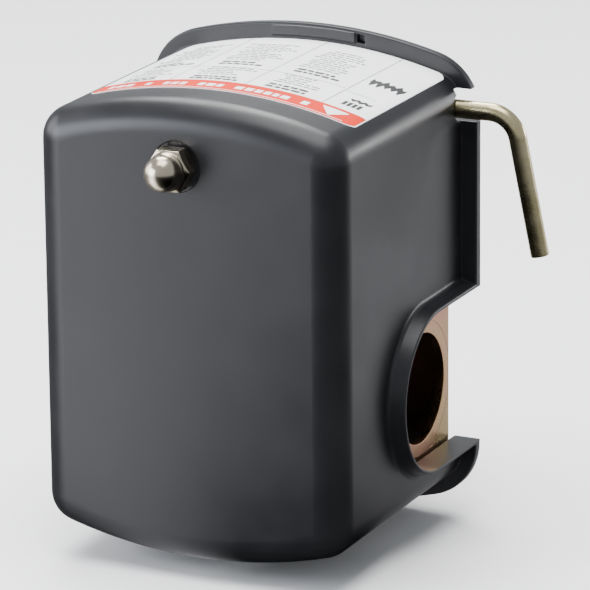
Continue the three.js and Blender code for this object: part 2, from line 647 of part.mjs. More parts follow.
/** Slotted round-head screw along Y; its head is in front of the seat. */
function makeTerminalScrew(x) {
  const { radius, headRadius, headThick, slot, tip } = TERMINAL_SCREW;
  const z = TERMINAL.screwZ;
  const seat = BLOCK.front - 3 * GAP - TERMINAL.thick - CLAMP.thick;
  const head = turnedY([
    [0, seat - headThick], [headRadius - 1, seat - headThick], [headRadius, seat - headThick + 1],
    [headRadius, seat], [0, seat],
  ], x, z, 24);
  const shank = barY(radius, x, z, seat - 0.5, tip, 16);
  const groove = block(
    x - 5, x + 5, seat - headThick - 1, seat - headThick + 1.1, z - slot / 2, z + slot / 2);
  return cut(join(head, shank), groove);
}

function makeBlockScrew(x, z) {
  const { radius, headRadius, headThick, tip } = BLOCK_SCREW;
  const head = barY(headRadius, x, z, GAP, GAP + headThick, 24);
  const shank = barY(radius, x, z, tip, GAP + 0.5, 16);
  const groove = block(x - 4, x + 4, GAP + headThick - 1, GAP + headThick + 1, z - 0.4, z + 0.4);
  return cut(join(head, shank), groove);
}

function makeGroundScrew(x, z) {
  const { radius, headFlats, headThick, rear } = GROUND_SCREW;
  const seat = -PLATE.thick - GAP;
  const head = hexY(headFlats, x, z, seat - headThick, seat);
  const shank = barY(radius, x, z, seat - 0.5, rear, 16);
  const groove = block(x - 5, x + 5, seat - headThick - 1, seat - headThick + 1, z - 0.45, z + 0.45);
  return cut(join(head, shank), groove);
}

function makeCarrier() {
  const { pivotY, pivotZ, pinRadius, pinHalfLength, bossRadius } = CARRIER;
  const { halfWidth, front, rear, zMin, zMax, armInner, armOuter } = CARRIER;
  const arm = new THREE.Shape([
    [front, zMin], [rear, zMin], [rear, zMax], [pivotY + bossRadius * 0.9, pivotZ - 1],
    [pivotY - bossRadius * 0.9, pivotZ + 1], [front, zMax],
  ].map(([y, z]) => new THREE.Vector2(y, z)));
  const solids = [
    block(-halfWidth, halfWidth, front, rear, zMin, zMax),
    barX(pinRadius, pivotY, pivotZ, -pinHalfLength, pinHalfLength, 16),
  ];
  for (const side of [1, -1]) {
    const [x0, x1] = [side * armInner, side * armOuter].sort((a, b) => a - b);
    solids.push(plateYZ(arm, x0, x1));
    solids.push(barX(bossRadius, pivotY, pivotZ, x0, x1, 24));
  }
  return join(...solids);
}

/** Bridge of one pole: a strip with a contact button at each end. */
function makeBridge(side) {
  const { centre, halfLength, halfHeight, thick } = BRIDGE;
  const seat = CARRIER.front - GAP;
  const x = side * centre;
  const z = TERMINAL.postZ;
  const strip = plateXZ(roundedRectangle(
    x - halfLength, x + halfLength, z - halfHeight, z + halfHeight, 1.5), seat - thick, seat, 2);
  const faceY = TERMINAL.contactRear + GAP;
  const buttons = TERMINAL.xs.filter((place) => place * side > 0)
    .map((place) => barY(TERMINAL.contactRadius, place, z, faceY, seat - 0.5, 20));
  return join(strip, ...buttons);
}

// ---------------------------------------------------------------- assembly
const pressureSwitch = new THREE.Group();
pressureSwitch.position.y = -HOUSING.portRear;

function add(name, body, finish) {
  const material = new THREE.MeshStandardMaterial({ ...FINISH[finish], flatShading: true });
  const mesh = new THREE.Mesh(geometryOf(body), material);
  mesh.name = name;
  pressureSwitch.add(mesh);
}

add('cover', makeCover(), 'coverPlastic');
add('cover_label', makeLabel(), 'label');
add('cap_nut', makeCapNut(), 'nickel');
add('frame', makeFrame(), 'yellowZinc');
add('cutoff_lever', makeCutoffLever(), 'yellowZinc');
add('actuator_lever', makeActuator(), 'whiteZinc');
add('actuator_pivot_pin', makePivotPin(), 'springSteel');
add('diaphragm_housing', makeHousing(), 'whiteZinc');
add('diaphragm', makeDiaphragm(), 'rubber');
add('plunger', makePlunger(), 'brass');
housingScrewPlaces().forEach(([x, z], i) => {
  add(`housing_screw_${i + 1}`, makeHousingScrew(x, z), 'whiteZinc');
});
for (const [name, spring] of [['range', RANGE], ['differential', DIFFERENTIAL]]) {
  add(`${name}_stud`, makeStud(spring), 'whiteZinc');
  add(`${name}_spring`, makeCoil(spring), 'springSteel');
  add(`${name}_spring_cup`, makeCup(spring), 'whiteZinc');
  add(`${name}_nut`, makeAdjustingNut(spring), 'whiteZinc');
}
add('contact_block', makeContactBlock(), 'phenolic');
TERMINAL.xs.forEach((x, i) => {
  add(`terminal_${i + 1}`, makeTerminal(x), 'brass');
  add(`terminal_clamp_${i + 1}`, makeClamp(x), 'whiteZinc');
  add(`terminal_screw_${i + 1}`, makeTerminalScrew(x), 'brass');
});
add('contact_carrier', makeCarrier(), 'phenolic');
add('contact_bridge_left', makeBridge(-1), 'brass');
add('contact_bridge_right', makeBridge(1), 'brass');
add('snap_spring', makeSnapSpring(), 'springSteel');
for (const [side, [x, z]] of mirrored(BLOCK_SCREW).entries()) {
  add(`block_screw_${side + 1}`, makeBlockScrew(x, z), 'whiteZinc');
}
for (const [side, [x, z]] of mirrored(GROUND_SCREW).entries()) {
  add(`ground_screw_${side + 1}`, makeGroundScrew(x, z), 'greenZinc');
}

export default pressureSwitch;
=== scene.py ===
"""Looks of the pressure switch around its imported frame.

Pieces are drawn in millimetres in the base frame: y = 0 is the base plate's rear face, x = z = 0 is
the port's axis and the cover faces -Y. finish_piece() turns each one into metres in the row frame.
"""

import random
from math import acos, asin, cos, degrees, pi, radians, sin, sqrt, tan

import bmesh
import bpy
from mathutils import Matrix, Vector


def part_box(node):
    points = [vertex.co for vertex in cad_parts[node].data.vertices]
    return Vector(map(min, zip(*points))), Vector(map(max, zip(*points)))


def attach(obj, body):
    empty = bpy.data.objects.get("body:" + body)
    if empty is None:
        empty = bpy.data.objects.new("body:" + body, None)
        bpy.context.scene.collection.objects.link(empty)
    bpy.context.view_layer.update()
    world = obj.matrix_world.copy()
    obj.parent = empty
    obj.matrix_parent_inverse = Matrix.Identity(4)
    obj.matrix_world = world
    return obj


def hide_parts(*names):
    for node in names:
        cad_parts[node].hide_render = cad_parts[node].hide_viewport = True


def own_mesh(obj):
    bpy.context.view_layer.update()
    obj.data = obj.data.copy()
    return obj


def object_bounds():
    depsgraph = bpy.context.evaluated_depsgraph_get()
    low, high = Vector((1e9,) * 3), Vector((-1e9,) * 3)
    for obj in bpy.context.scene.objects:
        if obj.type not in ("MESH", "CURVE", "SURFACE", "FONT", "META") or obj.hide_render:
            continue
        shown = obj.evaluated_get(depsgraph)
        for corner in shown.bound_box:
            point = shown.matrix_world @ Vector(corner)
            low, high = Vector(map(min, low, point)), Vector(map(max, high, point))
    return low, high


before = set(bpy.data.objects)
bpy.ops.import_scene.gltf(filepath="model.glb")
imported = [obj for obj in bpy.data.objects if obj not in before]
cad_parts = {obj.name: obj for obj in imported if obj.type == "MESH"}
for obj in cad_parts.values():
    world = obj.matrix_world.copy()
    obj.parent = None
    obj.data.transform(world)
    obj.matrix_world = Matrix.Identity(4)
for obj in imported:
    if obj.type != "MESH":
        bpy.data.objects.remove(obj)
CAD_BOX = [list(corner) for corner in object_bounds()]

MM = 0.001
BASE_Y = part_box("frame")[1].y  # the base plate's rear face in the row frame, in metres


def span(node):
    """Lowest and highest corner of a CAD node, in mm in the base frame."""
    move = Vector((0, BASE_Y, 0))
    return [(corner - move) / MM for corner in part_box(node)]


def middle(node):
    low, high = span(node)
    return (low + high) / 2


def axis_of(node):
    """Place (x, z) of a CAD node's middle."""
    centre = middle(node)
    return centre.x, centre.z


def upright(node):
    """Lowest and highest corner and the axis of a CAD node that stands along Y."""
    return *span(node), *axis_of(node)


def screw_places(prefix, count):
    """Centres (x, z) of a numbered set of screws."""
    return [axis_of(f"{prefix}_{i}") for i in range(1, count + 1)]


# -------- sizes, in millimetres
COVER_LOW, COVER_HIGH = span("cover")
FLANGE_OUT = 3.3
FLANGE_THICK = 2.1
HALF_WIDTH = COVER_HIGH.x - FLANGE_OUT
HALF_HEIGHT = COVER_HIGH.z - FLANGE_OUT
DEPTH = -COVER_LOW.y
WALL = 2.3
CROWN_RADIUS = 98.0
CORNER_RADIUS = 6.5
FLANGE_CORNER = 12.0
FRONT_FILLET = 6.0
ROOT_FILLET = 0.35  # where the flange meets the wall
RECESS_RADIUS, RECESS_DEPTH = 5.0, 0.5  # flat seat of the cap nut

CUTOUT, CUTOUT_RADIUS, LIP = (-20.1, -17.1), 15.9, 1.3  # centre (y, z)
LIP_EDGE, LIP_FLARE = 0.8, 1.1  # thickness at the lip's edge, concave round at its root
NOTCH_Y, NOTCH_Z, NOTCH_RADIUS, NOTCH_TOP, NOTCH_BOTTOM = -3.3, 35.4, 2.3, 39.0, 32.6
STRIP_LEFT, STRIP_RIGHT, STRIP_PROUD = -8.6, 9.5, 0.4  # raised strip on the top flange
SLIT_LEFT, SLIT_RIGHT, SLIT_DEPTH = 9.8, 11.5, 1.5

PLATE_THICK = 1.4
BEND_RADIUS = 2.4
CONDUIT, CONDUIT_RADIUS = (-15.8, -18.8), 11.1  # centre (y, z)

ROD_RADIUS, ROD_Y, ROD_Z, ROD_END_Z = 1.8, -3.5, 35.3, 7.4
ROD_CORNER_X, ROD_END_X, ROD_BEND = 43.8, 49.6, 6.0

FLANGE_REAR, CUP_FACE = 4.0, 9.0  # rear planes of the diaphragm housing
PORT_FLATS, PORT_THREAD, PORT_PITCH, PORT_DEPTH = 17.5, 6.2, 1.411, 11.0
HOUSING_SCREW, HOUSING_FLATS = 1.5, 5.5  # shank radius, head across flats
BLOCK_SCREW, TERMINAL_SCREW, GROUND_SCREW, GROUND_FLATS = 1.5, 1.7, 1.9, 6.0
DRIVER_SLOT = 0.45  # half the width of a driver slot

STUD = axis_of("range_stud")
RANGE_STUD, RANGE_PITCH = 2.3, 0.794
DIFFERENTIAL_STUD, DIFFERENTIAL_PITCH = 1.7, 0.7

# -------- mesh helpers
SHARP = radians(35)  # edges that bend more than this stay sharp
FLAT = radians(0.15)  # faces that bend less than this count as one
WELD = 0.003  # points closer than this are welded before rounding


def place_object(name, data):
    thing = bpy.data.objects.new(name, data)
    bpy.context.scene.collection.objects.link(thing)
    return thing


def new_piece(name, points, faces):
    """Solid from points and faces, with its normals facing outwards."""
    mesh = bpy.data.meshes.new(name)
    mesh.from_pydata([tuple(p) for p in points], [], faces)
    piece = place_object(name, mesh)
    return edit(piece, lambda bm: bmesh.ops.recalc_face_normals(bm, faces=bm.faces))


def edit(piece, change):
    """Runs change(bm) on a piece's mesh."""
    bm = bmesh.new()
    bm.from_mesh(piece.data)
    change(bm)
    bm.to_mesh(piece.data)
    bm.free()
    return piece


def loft(name, rings, joined=False):
    """Closed solid through rings of equal length; joined links the last ring to the first."""
    count = len(rings[0])
    points = [p for ring in rings for p in ring]
    faces = []
    pairs = len(rings) if joined else len(rings) - 1
    for r in range(pairs):
        a, b = r * count, ((r + 1) % len(rings)) * count
        for i in range(count):
            j = (i + 1) % count
            faces.append((a + i, a + j, b + j, b + i))
    if not joined:
        faces.append(tuple(range(count)))
        faces.append(tuple(range(len(points) - count, len(points))))
    return new_piece(name, points, faces)


def turned(name, profile, x, z, sides=64):
    """Turned solid about an axis along Y; profile holds (radius, y) and may be a closed ring."""
    ring_like = profile[0][0] > 0
    points, rows = [], []
    for radius, y in profile:
        if radius <= 0:
            rows.append([len(points)] * sides)
            points.append((x, y, z))
            continue
        rows.append(list(range(len(points), len(points) + sides)))
        for i in range(sides):
            angle = 2 * pi * i / sides
            points.append((x + radius * cos(angle), y, z + radius * sin(angle)))
    faces = []
    pairs = list(zip(rows, rows[1:]))
    if ring_like:
        pairs.append((rows[-1], rows[0]))
    for low, high in pairs:
        for i in range(sides):
            j = (i + 1) % sides
            corners = [low[i], low[j], high[j], high[i]]
            faces.append(tuple(dict.fromkeys(corners)))
    return new_piece(name, points, [f for f in faces if len(f) > 2])


def prism(name, outline, axis, start, end):
    """Straight prism of a flat outline in (y, z), (x, z) or (x, y) along axis X, Y or Z."""
    place = {
        "X": lambda u, v, w: (w, u, v),
        "Y": lambda u, v, w: (u, w, v),
        "Z": lambda u, v, w: (u, v, w),
    }[axis]
    return loft(name, [[place(u, v, w) for u, v in outline] for w in (start, end)])


def block(name, low, high):
    """Box between two corners."""
    outline = [(low[0], low[2]), (high[0], low[2]), (high[0], high[2]), (low[0], high[2])]
    return prism(name, outline, "Y", low[1], high[1])


def spread(low, high, steps):
    """Evenly spaced values from low to high."""
    return [low + (high - low) * i / steps for i in range(steps + 1)]


def arc(u, v, radius, start, end, steps):
    """Points on an arc, angles in degrees."""
    angles = [radians(a) for a in spread(start, end, steps)]
    return [(u + radius * cos(a), v + radius * sin(a)) for a in angles]


def circle(u, v, radius, sides=64):
    return arc(u, v, radius, 0, 360, sides)[:-1]


def rounded(u0, u1, v0, v1, radius):
    """Rectangle with rounded corners."""
    left, right, low, high = u0 + radius, u1 - radius, v0 + radius, v1 - radius
    return (
        arc(right, high, radius, 0, 90, 8) + arc(left, high, radius, 90, 180, 8)
        + arc(left, low, radius, 180, 270, 8) + arc(right, low, radius, 270, 360, 8))


def hexagon(flats, u, v):
    """Hexagon with corners towards +u and -u, given across its flats."""
    return circle(u, v, flats / sqrt(3), 6)


def bake(piece):
    """Applies the piece's modifiers to its mesh."""
    graph = bpy.context.evaluated_depsgraph_get()
    baked = bpy.data.meshes.new_from_object(piece.evaluated_get(graph))
    piece.modifiers.clear()
    piece.data = baked
    return piece


def combine(piece, operation, *others):
    """Boolean of a piece with others, which are used up."""
    for other in others:
        modifier = piece.modifiers.new("combine", "BOOLEAN")
        modifier.operation = operation
        modifier.solver = "MANIFOLD"
        modifier.object = other
    bake(piece)
    for other in others:
        bpy.data.objects.remove(other)
    return piece


def cut(piece, *tools):
    return combine(piece, "DIFFERENCE", *tools)


def join(piece, *others):
    return combine(piece, "UNION", *others)


def flatten(bm):
    """Welds close points and removes the edges that lie in a flat face."""
    bmesh.ops.remove_doubles(bm, verts=bm.verts, dist=WELD)
    bmesh.ops.dissolve_limit(bm, angle_limit=FLAT, verts=bm.verts, edges=bm.edges)
    bmesh.ops.dissolve_degenerate(bm, dist=WELD, edges=bm.edges)


def soften(piece, width, clean=True):
    """Rounds every sharp edge; clean first flattens the piece's flat faces."""
    if clean:
        edit(piece, flatten)
    modifier = piece.modifiers.new("soften", "BEVEL")
    modifier.width = width
    modifier.segments = 2
    modifier.limit_method = "ANGLE"
    modifier.angle_limit = SHARP
    modifier.use_clamp_overlap = False
    return bake(piece)


def keep_inside(piece, node):
    """Moves the points that rounding pushed out of a CAD node's box back onto it."""
    low, high = span(node)
    for vertex in piece.data.vertices:
        vertex.co = [min(max(c, a), b) for c, a, b in zip(vertex.co, low, high)]


def split_large_faces(bm):
    """Cuts faces with many corners into triangles, which shade evenly."""
    bmesh.ops.remove_doubles(bm, verts=bm.verts, dist=0.0005)
    large = [face for face in bm.faces if len(face.verts) > 4]
    bmesh.ops.triangulate(bm, faces=large, ngon_method="BEAUTY")


def finish_piece(piece, body, finish, nodes=()):
    """Turns a mesh into metres, shades it and makes it ride on its body. Its material is the finish
    of that name."""
    for node in nodes:
        keep_inside(piece, node)
    edit(piece, split_large_faces)
    piece.data.transform(Matrix.Translation((0, BASE_Y, 0)) @ Matrix.Scale(MM, 4))
    piece.data.materials.clear()
    piece.data.materials.append(FINISHES[finish])
    piece.data.shade_smooth()
    piece.data.set_sharp_from_angle(angle=SHARP)
    shading = piece.modifiers.new("shading", "WEIGHTED_NORMAL")
    shading.keep_sharp = True
    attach(piece, body)
    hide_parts(*nodes)


def threaded_bar(name, radius, pitch, depth, x, z, low, high, sides=28):
    """Bar along Y with a real helical thread and a chamfer at its front end."""
    steps_per_turn, chamfer = 6, 1.6 * depth
    steps = max(2, round((high - low) / pitch * steps_per_turn))
    rings = []
    for y in spread(low, high, steps):
        ring = []
        for i in range(sides):
            share = i / sides
            groove = depth * abs(2 * ((y / pitch + share) % 1) - 1)
            size = min(radius - groove, radius - chamfer + (y - low))
            angle = 2 * pi * share
            ring.append((x + size * cos(angle), y, z + size * sin(angle)))
        rings.append(ring)
    return loft(name, rings)


def sweep(name, frames, radius, sides=24):
    """Round wire through frames of (centre, first normal, second normal)."""
    angles = [2 * pi * i / sides for i in range(sides)]
    rings = []
    for centre, first, second in frames:
        rings.append([centre + radius * (first * cos(a) + second * sin(a)) for a in angles])
    return loft(name, rings)


def coil(name, start, end, radius, wire, turns, steps=40, sides=14, ground=0.35):
    """Compression spring with closed end coils, ground flat by a share of the wire's radius."""
    start, end = Vector(start), Vector(end)
    axis = (end - start).normalized()
    length = (end - start).length
    u = Vector((1, 0, 0))
    v = axis.cross(u)
    closed = wire * 1.04
    open_pitch = (length - 2 * closed) / (turns - 2)
    frames = []
    for i in range(round(turns * steps) + 1):
        n = i / steps
        middle_turns = min(max(n - 1, 0), turns - 2)
        rise = (min(n, 1) + max(n - turns + 1, 0)) * closed + middle_turns * open_pitch
        outward = u * cos(2 * pi * n) + v * sin(2 * pi * n)
        onward = v * cos(2 * pi * n) - u * sin(2 * pi * n)
        frames.append((start + axis * rise + outward * radius, outward, outward.cross(onward)))
    spring = sweep(name, frames, wire / 2, sides)
    reach = wire / 2 * (1 - ground)
    for vertex in spring.data.vertices:
        along = (vertex.co - start).dot(axis)
        vertex.co += axis * (min(max(along, -reach), length + reach) - along)
    return spring


def hex_body(name, flats, x, z, front, rear, blank, sides):
    """Hexagonal prism along Y, cut to the profile of a turned blank."""
    body = prism(name, hexagon(flats, x, z), "Y", front, rear)
    return combine(body, "INTERSECT", turned("blank", blank, x, z, sides))


def hex_nut(name, flats, chamfer, bore, x, z, front, rear):
    """Hexagonal nut along Y with both faces chamfered and the bore countersunk."""
    corner = flats / sqrt(3)
    nut = hex_body(name, flats, x, z, front, rear, [
        (0, front), (corner - 2 * chamfer, front), (corner, front + chamfer),
        (corner, rear - chamfer), (corner - 2 * chamfer, rear), (0, rear),
    ], 72)
    sink, past = 0.35, 1
    hole = turned("bore", [
        (0, front - past), (bore + sink + past, front - past), (bore, front + sink),
        (bore, rear - sink), (bore + sink + past, rear + past), (0, rear + past),
    ], x, z, 40)
    return cut(nut, hole)


def domed_head(radius, thick, face, side):
    """Profile of a pan head from its seat at y = face; side is -1 to the front, +1 to the rear."""
    edge = min(1.1, thick * 0.55)
    crown = []
    for a in (0, 22, 45, 68, 90):
        out, up = edge * cos(radians(a)), edge * sin(radians(a))
        crown.append((radius - edge + out, face + side * (thick - edge + up)))
    rim = [(0, face), (radius - 0.15, face), (radius, face + side * 0.15)]
    return [*rim, *crown, (0, face + side * thick)]


# -------- materials
NOISE_LOW, NOISE_HIGH = 0.34, 0.66  # the blended noise seldom leaves this range
SLOW_NOISE = 40  # size of the slow noise in grains
FINE_SHARE = 0.25  # share of the fine noise in the colours and the roughness


def add_node(tree, kind, **values):
    """New shader node with inputs set by name; an underscore stands for a space."""
    node = tree.nodes.new(kind)
    for key, value in values.items():
        node.inputs[key.replace("_", " ")].default_value = value
    return node


def link(tree, *pairs):
    """Joins shader sockets, given as (output, input)."""
    for output, target in pairs:
        tree.links.new(output, target)


def fill_ramp(ramp, stops):
    """Gives a colour ramp its stops, as (position, colour)."""
    elements = ramp.color_ramp.elements
    while len(elements) < len(stops):
        elements.new(0.5)
    for element, (position, colour) in zip(elements, stops):
        element.position = position
        element.color = (*colour, 1)


def grain_noises(tree, grain, stretch):
    """Slow and fine noise in the piece's own coordinates."""
    place = add_node(tree, "ShaderNodeTexCoord")
    squeeze = add_node(tree, "ShaderNodeMapping", Scale=stretch)
    link(tree, (place.outputs["Object"], squeeze.inputs["Vector"]))
    noises = []
    for size, detail, roughness in ((grain * SLOW_NOISE, 4, 0.6), (grain, 3, 0.55)):
        noise = add_node(
            tree, "ShaderNodeTexNoise", Scale=1 / (size * MM), Detail=detail, Roughness=roughness)
        link(tree, (squeeze.outputs["Vector"], noise.inputs["Vector"]))
        noises.append(noise.outputs["Fac"])
    return noises


def material(name, tones, metallic, rough, grain, bump, stretch=(1, 1, 1), specular=0.5):
    """Procedural finish. tones are the colours of the noise from dark to light, rough is the range
    of roughness, grain is the size of the fine noise in mm and bump its height in mm."""
    finish = bpy.data.materials.new(name)
    finish.use_nodes = True
    tree = finish.node_tree
    shader = tree.nodes["Principled BSDF"]
    shader.inputs["Metallic"].default_value = metallic
    shader.inputs["Specular IOR Level"].default_value = specular
    slow, fine = grain_noises(tree, grain, stretch)
    blend = add_node(tree, "ShaderNodeMix", Factor=FINE_SHARE)
    ramp = add_node(tree, "ShaderNodeValToRGB")
    step = (NOISE_HIGH - NOISE_LOW) / (len(tones) - 1)
    fill_ramp(ramp, [(NOISE_LOW + step * i, tone) for i, tone in enumerate(tones)])
    gloss = add_node(
        tree, "ShaderNodeMapRange",
        From_Min=NOISE_LOW, From_Max=NOISE_HIGH, To_Min=rough[0], To_Max=rough[1])
    relief = add_node(tree, "ShaderNodeBump", Strength=1.0, Distance=bump * MM)
    link(
        tree, (slow, blend.inputs["A"]), (fine, blend.inputs["B"]),
        (blend.outputs["Result"], ramp.inputs["Fac"]),
        (ramp.outputs["Color"], shader.inputs["Base Color"]),
        (blend.outputs["Result"], gloss.inputs["Value"]),
        (gloss.outputs["Result"], shader.inputs["Roughness"]),
        (fine, relief.inputs["Height"]), (relief.outputs["Normal"], shader.inputs["Normal"]))
    return finish


# name, tones, metallic, range of roughness, grain, bump, stretch, specular
FINISHES = {name: material(name, *values) for name, *values in (
    ("cover_plastic", [(0.0056, 0.0057, 0.007), (0.0072, 0.0073, 0.0088), (0.0094, 0.0095, 0.0112)],
     0, (0.32, 0.42), 0.35, 0.004),
    ("label_paper", [(0.88, 0.885, 0.89), (0.91, 0.915, 0.92)], 0, (0.3, 0.42), 0.3, 0.002),
    ("ink_orange", [(0.56, 0.022, 0.008), (0.64, 0.032, 0.012)],
     0, (0.45, 0.55), 0.25, 0.002, (1, 1, 1), 0.1),
    ("ink_pale", [(0.82, 0.8, 0.79), (0.88, 0.87, 0.86)], 0, (0.3, 0.45), 0.25, 0.002),
    ("ink_grey", [(0.07, 0.07, 0.08), (0.13, 0.13, 0.15)], 0, (0.35, 0.5), 0.25, 0.002),
    ("ink_dark", [(0.01, 0.01, 0.011), (0.035, 0.035, 0.037)], 0, (0.35, 0.5), 0.25, 0.002),
    ("nickel", [(0.48, 0.41, 0.3), (0.6, 0.52, 0.4), (0.7, 0.62, 0.49)],
     1, (0.18, 0.28), 0.25, 0.002),
    ("yellow_zinc", [(0.42, 0.33, 0.13), (0.52, 0.32, 0.16), (0.56, 0.29, 0.19), (0.54, 0.26, 0.2)],
     1, (0.24, 0.38), 0.3, 0.004),
    ("rod_zinc", [(0.56, 0.48, 0.26), (0.72, 0.62, 0.38), (0.84, 0.75, 0.52)],
     1, (0.22, 0.36), 0.22, 0.005, (0.25, 1, 1)),
    ("white_zinc", [(0.46, 0.48, 0.5), (0.56, 0.57, 0.58), (0.63, 0.63, 0.62)],
     1, (0.28, 0.44), 0.3, 0.004),
    ("spring_steel", [(0.24, 0.24, 0.25), (0.36, 0.36, 0.37)], 1, (0.24, 0.4), 0.2, 0.004),
    ("phenolic", [(0.013, 0.011, 0.01), (0.02, 0.018, 0.017), (0.03, 0.026, 0.023)],
     0, (0.32, 0.5), 0.4, 0.006),
    ("brass", [(0.52, 0.36, 0.12), (0.66, 0.48, 0.19), (0.74, 0.56, 0.26)],
     1, (0.22, 0.38), 0.3, 0.003),
    ("green_zinc", [(0.02, 0.14, 0.045), (0.05, 0.27, 0.09)], 0.8, (0.3, 0.45), 0.3, 0.004),
    ("rubber", [(0.01, 0.01, 0.01), (0.018, 0.018, 0.018)], 0, (0.6, 0.8), 0.3, 0.012),
)}


# -------- cover
def cover_corner(radius):
    """Centre (x, z) of the outline's top right corner, and the crown's slope there in degrees."""
    x, reach = HALF_WIDTH - radius, CROWN_RADIUS - radius
    z = HALF_HEIGHT - CROWN_RADIUS + sqrt(reach ** 2 - x ** 2)
    return x, z, degrees(asin(x / reach))


def cover_top(inset, x):
    """Height of the cover's top at x, drawn inwards by inset."""
    corner_x, corner_z, lean = cover_corner(CORNER_RADIUS)
    crown = CROWN_RADIUS - inset
    if abs(x) <= crown * sin(radians(lean)):
        return HALF_HEIGHT - CROWN_RADIUS + sqrt(crown ** 2 - x ** 2)
    return corner_z + sqrt((CORNER_RADIUS - inset) ** 2 - (abs(x) - corner_x) ** 2)


def cover_outline(inset, radius):
    """Outline (x, z) of the cover, drawn inwards by inset: crowned top and bottom, flat sides."""
    corner_x, corner_z, lean = cover_corner(radius)
    crown_centre = HALF_HEIGHT - CROWN_RADIUS
    right = arc(corner_x, corner_z, radius - inset, 0, 90 - lean, 14)
    crown = arc(0, crown_centre, CROWN_RADIUS - inset, 90 - lean, 90 + lean, 40)[1:-1]
    left = [(-x, z) for x, z in reversed(right)]
    top = right + crown + left
    return top + [(-x, -z) for x, z in top]


def quarter(inset, y, radius, start, end, steps, corner=CORNER_RADIUS):
    """Rings of the outline around a quarter round whose centre is at (inset, y)."""
    places = arc(inset, y, radius, start, end, steps)
    return [[(x, v, z) for x, z in cover_outline(u, corner)] for u, v in places]


def cover_shell():
    """Hood and flange as one surface, from inside the front to the outside."""
    edge = 0.35
    corner = FLANGE_CORNER - FLANGE_OUT
    inner = FRONT_FILLET - WALL
    rings = quarter(WALL + inner, WALL - DEPTH + inner, inner, 270, 180, 8)
    rings += quarter(WALL - edge, -edge, edge, 0, 90, 3)
    rings += quarter(edge - FLANGE_OUT, -edge, edge, 90, 180, 3, corner)
    rings += quarter(edge - FLANGE_OUT, edge - FLANGE_THICK, edge, 180, 270, 3, corner)
    rings += quarter(-ROOT_FILLET, -FLANGE_THICK - ROOT_FILLET, ROOT_FILLET, 90, 0, 5)
    rings += quarter(FRONT_FILLET, FRONT_FILLET - DEPTH, FRONT_FILLET, 180, 270, 14)
    return loft("cover_fine", rings)


def slot_outline(y, z, radius, rear):
    """U-shaped outline (y, z): round towards the front and square at the rear."""
    return arc(y, z, radius, 90, 270, 40) + [(rear, z - radius), (rear, z + radius)]


def cutout_lip(side):
    """Raised lip around the conduit cut-out, flared where it meets the wall."""
    outer, edge, rear = CUTOUT_RADIUS + LIP, 0.4, -0.2
    profile = [(HALF_WIDTH - 1, outer + LIP_FLARE)]
    profile += arc(HALF_WIDTH + LIP_FLARE, outer + LIP_FLARE, LIP_FLARE, 180, 270, 8)
    profile += arc(HALF_WIDTH + FLANGE_OUT - edge, CUTOUT_RADIUS + LIP_EDGE - edge, edge, 80, 0, 4)
    rings = []
    for x, radius in profile:
        rings.append([(side * x, y, z) for y, z in slot_outline(*CUTOUT, radius, rear)])
    return loft("lip", rings)


def crown_band(name, x0, x1, y0, y1, inset0, inset1):
    """Closed piece on the crown between two insets, two x places and two y places."""
    places = spread(x0, x1, 12)
    outline = [(x, cover_top(inset0, x)) for x in places]
    outline += [(x, cover_top(inset1, x)) for x in reversed(places)]
    return prism(name, outline, "Y", y0, y1)


def cover_openings():
    """Cutters for the hood."""
    reach = HALF_WIDTH + FLANGE_OUT + 1
    notch = arc(NOTCH_Y, NOTCH_Z, NOTCH_RADIUS, 90, 270, 20)
    notch += [(NOTCH_Y, NOTCH_BOTTOM), (1, NOTCH_BOTTOM), (1, NOTCH_TOP), (NOTCH_Y, NOTCH_TOP)]
    hole = circle(*STUD, RANGE_STUD + 0.6, 48)
    recess = circle(*STUD, RECESS_RADIUS, 64)
    return [
        prism("opening", slot_outline(*CUTOUT, CUTOUT_RADIUS, 1), "X", -reach, reach),
        prism("notch", notch, "X", HALF_WIDTH - WALL - 1, reach),
        crown_band(
            "slit", SLIT_LEFT, SLIT_RIGHT, -FLANGE_THICK - 1, -FLANGE_THICK + SLIT_DEPTH,
            -FLANGE_OUT + 0.6, -1.0),
        prism("hole", hole, "Y", -DEPTH - 1, 0),
        prism("recess", recess, "Y", -DEPTH - 1, RECESS_DEPTH - DEPTH),
    ]


def make_cover():
    """Hood with its flange, cut-outs, lips and the boss behind the cap nut."""
    shell = cover_shell()
    inner_face = WALL - DEPTH
    start, end = inner_face - 0.5, inner_face + 1.5
    boss = turned("boss", [(0, start), (5.2, start), (4.8, end), (0, end)], *STUD, 48)
    strip = crown_band(
        "strip", STRIP_LEFT, STRIP_RIGHT, -FLANGE_THICK - STRIP_PROUD, -1, -FLANGE_OUT + 0.5, -0.8)
    join(shell, cutout_lip(1), cutout_lip(-1), boss, strip)
    cut(shell, *cover_openings())
    soften(shell, 0.2, clean=False)
    finish_piece(shell, "cover", "cover_plastic", ["cover"])


# -------- label
LABEL_LOW, LABEL_HIGH = span("cover_label")
LABEL_CORNER = 2.0
SHEET_UNDER, SHEET_OVER = -0.03, -0.15  # insets of the sheet's two faces
INK_UNDER, INK_OVER = SHEET_OVER - 0.003, -0.175
BAND_LAYER = (INK_OVER - 0.003, INK_OVER - 0.025)  # ink on top of the band
BAND_REAR = LABEL_LOW.y + 6.6
COLUMNS = (LABEL_LOW.x, -12.3, 3.8, 20.0, LABEL_HIGH.x)
INK_SEED = 11
PRINT_BLOCKS = ((-38.6, 5), (-25.9, 11))  # y of a heading's first row, rows of fine print under it
INDENT = 1.6
BOLD_HEIGHT, BOLD_STEP = 1.05, 1.7
FINE_HEIGHT, FINE_STEP, FINE_DROP = 0.5, 1.35, 3.9
BURSTS = ((0, -20.0, 7.0, 6.4, 5), (0.4, -33.4, 4.2, 2.6, 3))  # x, y, width, depth, teeth
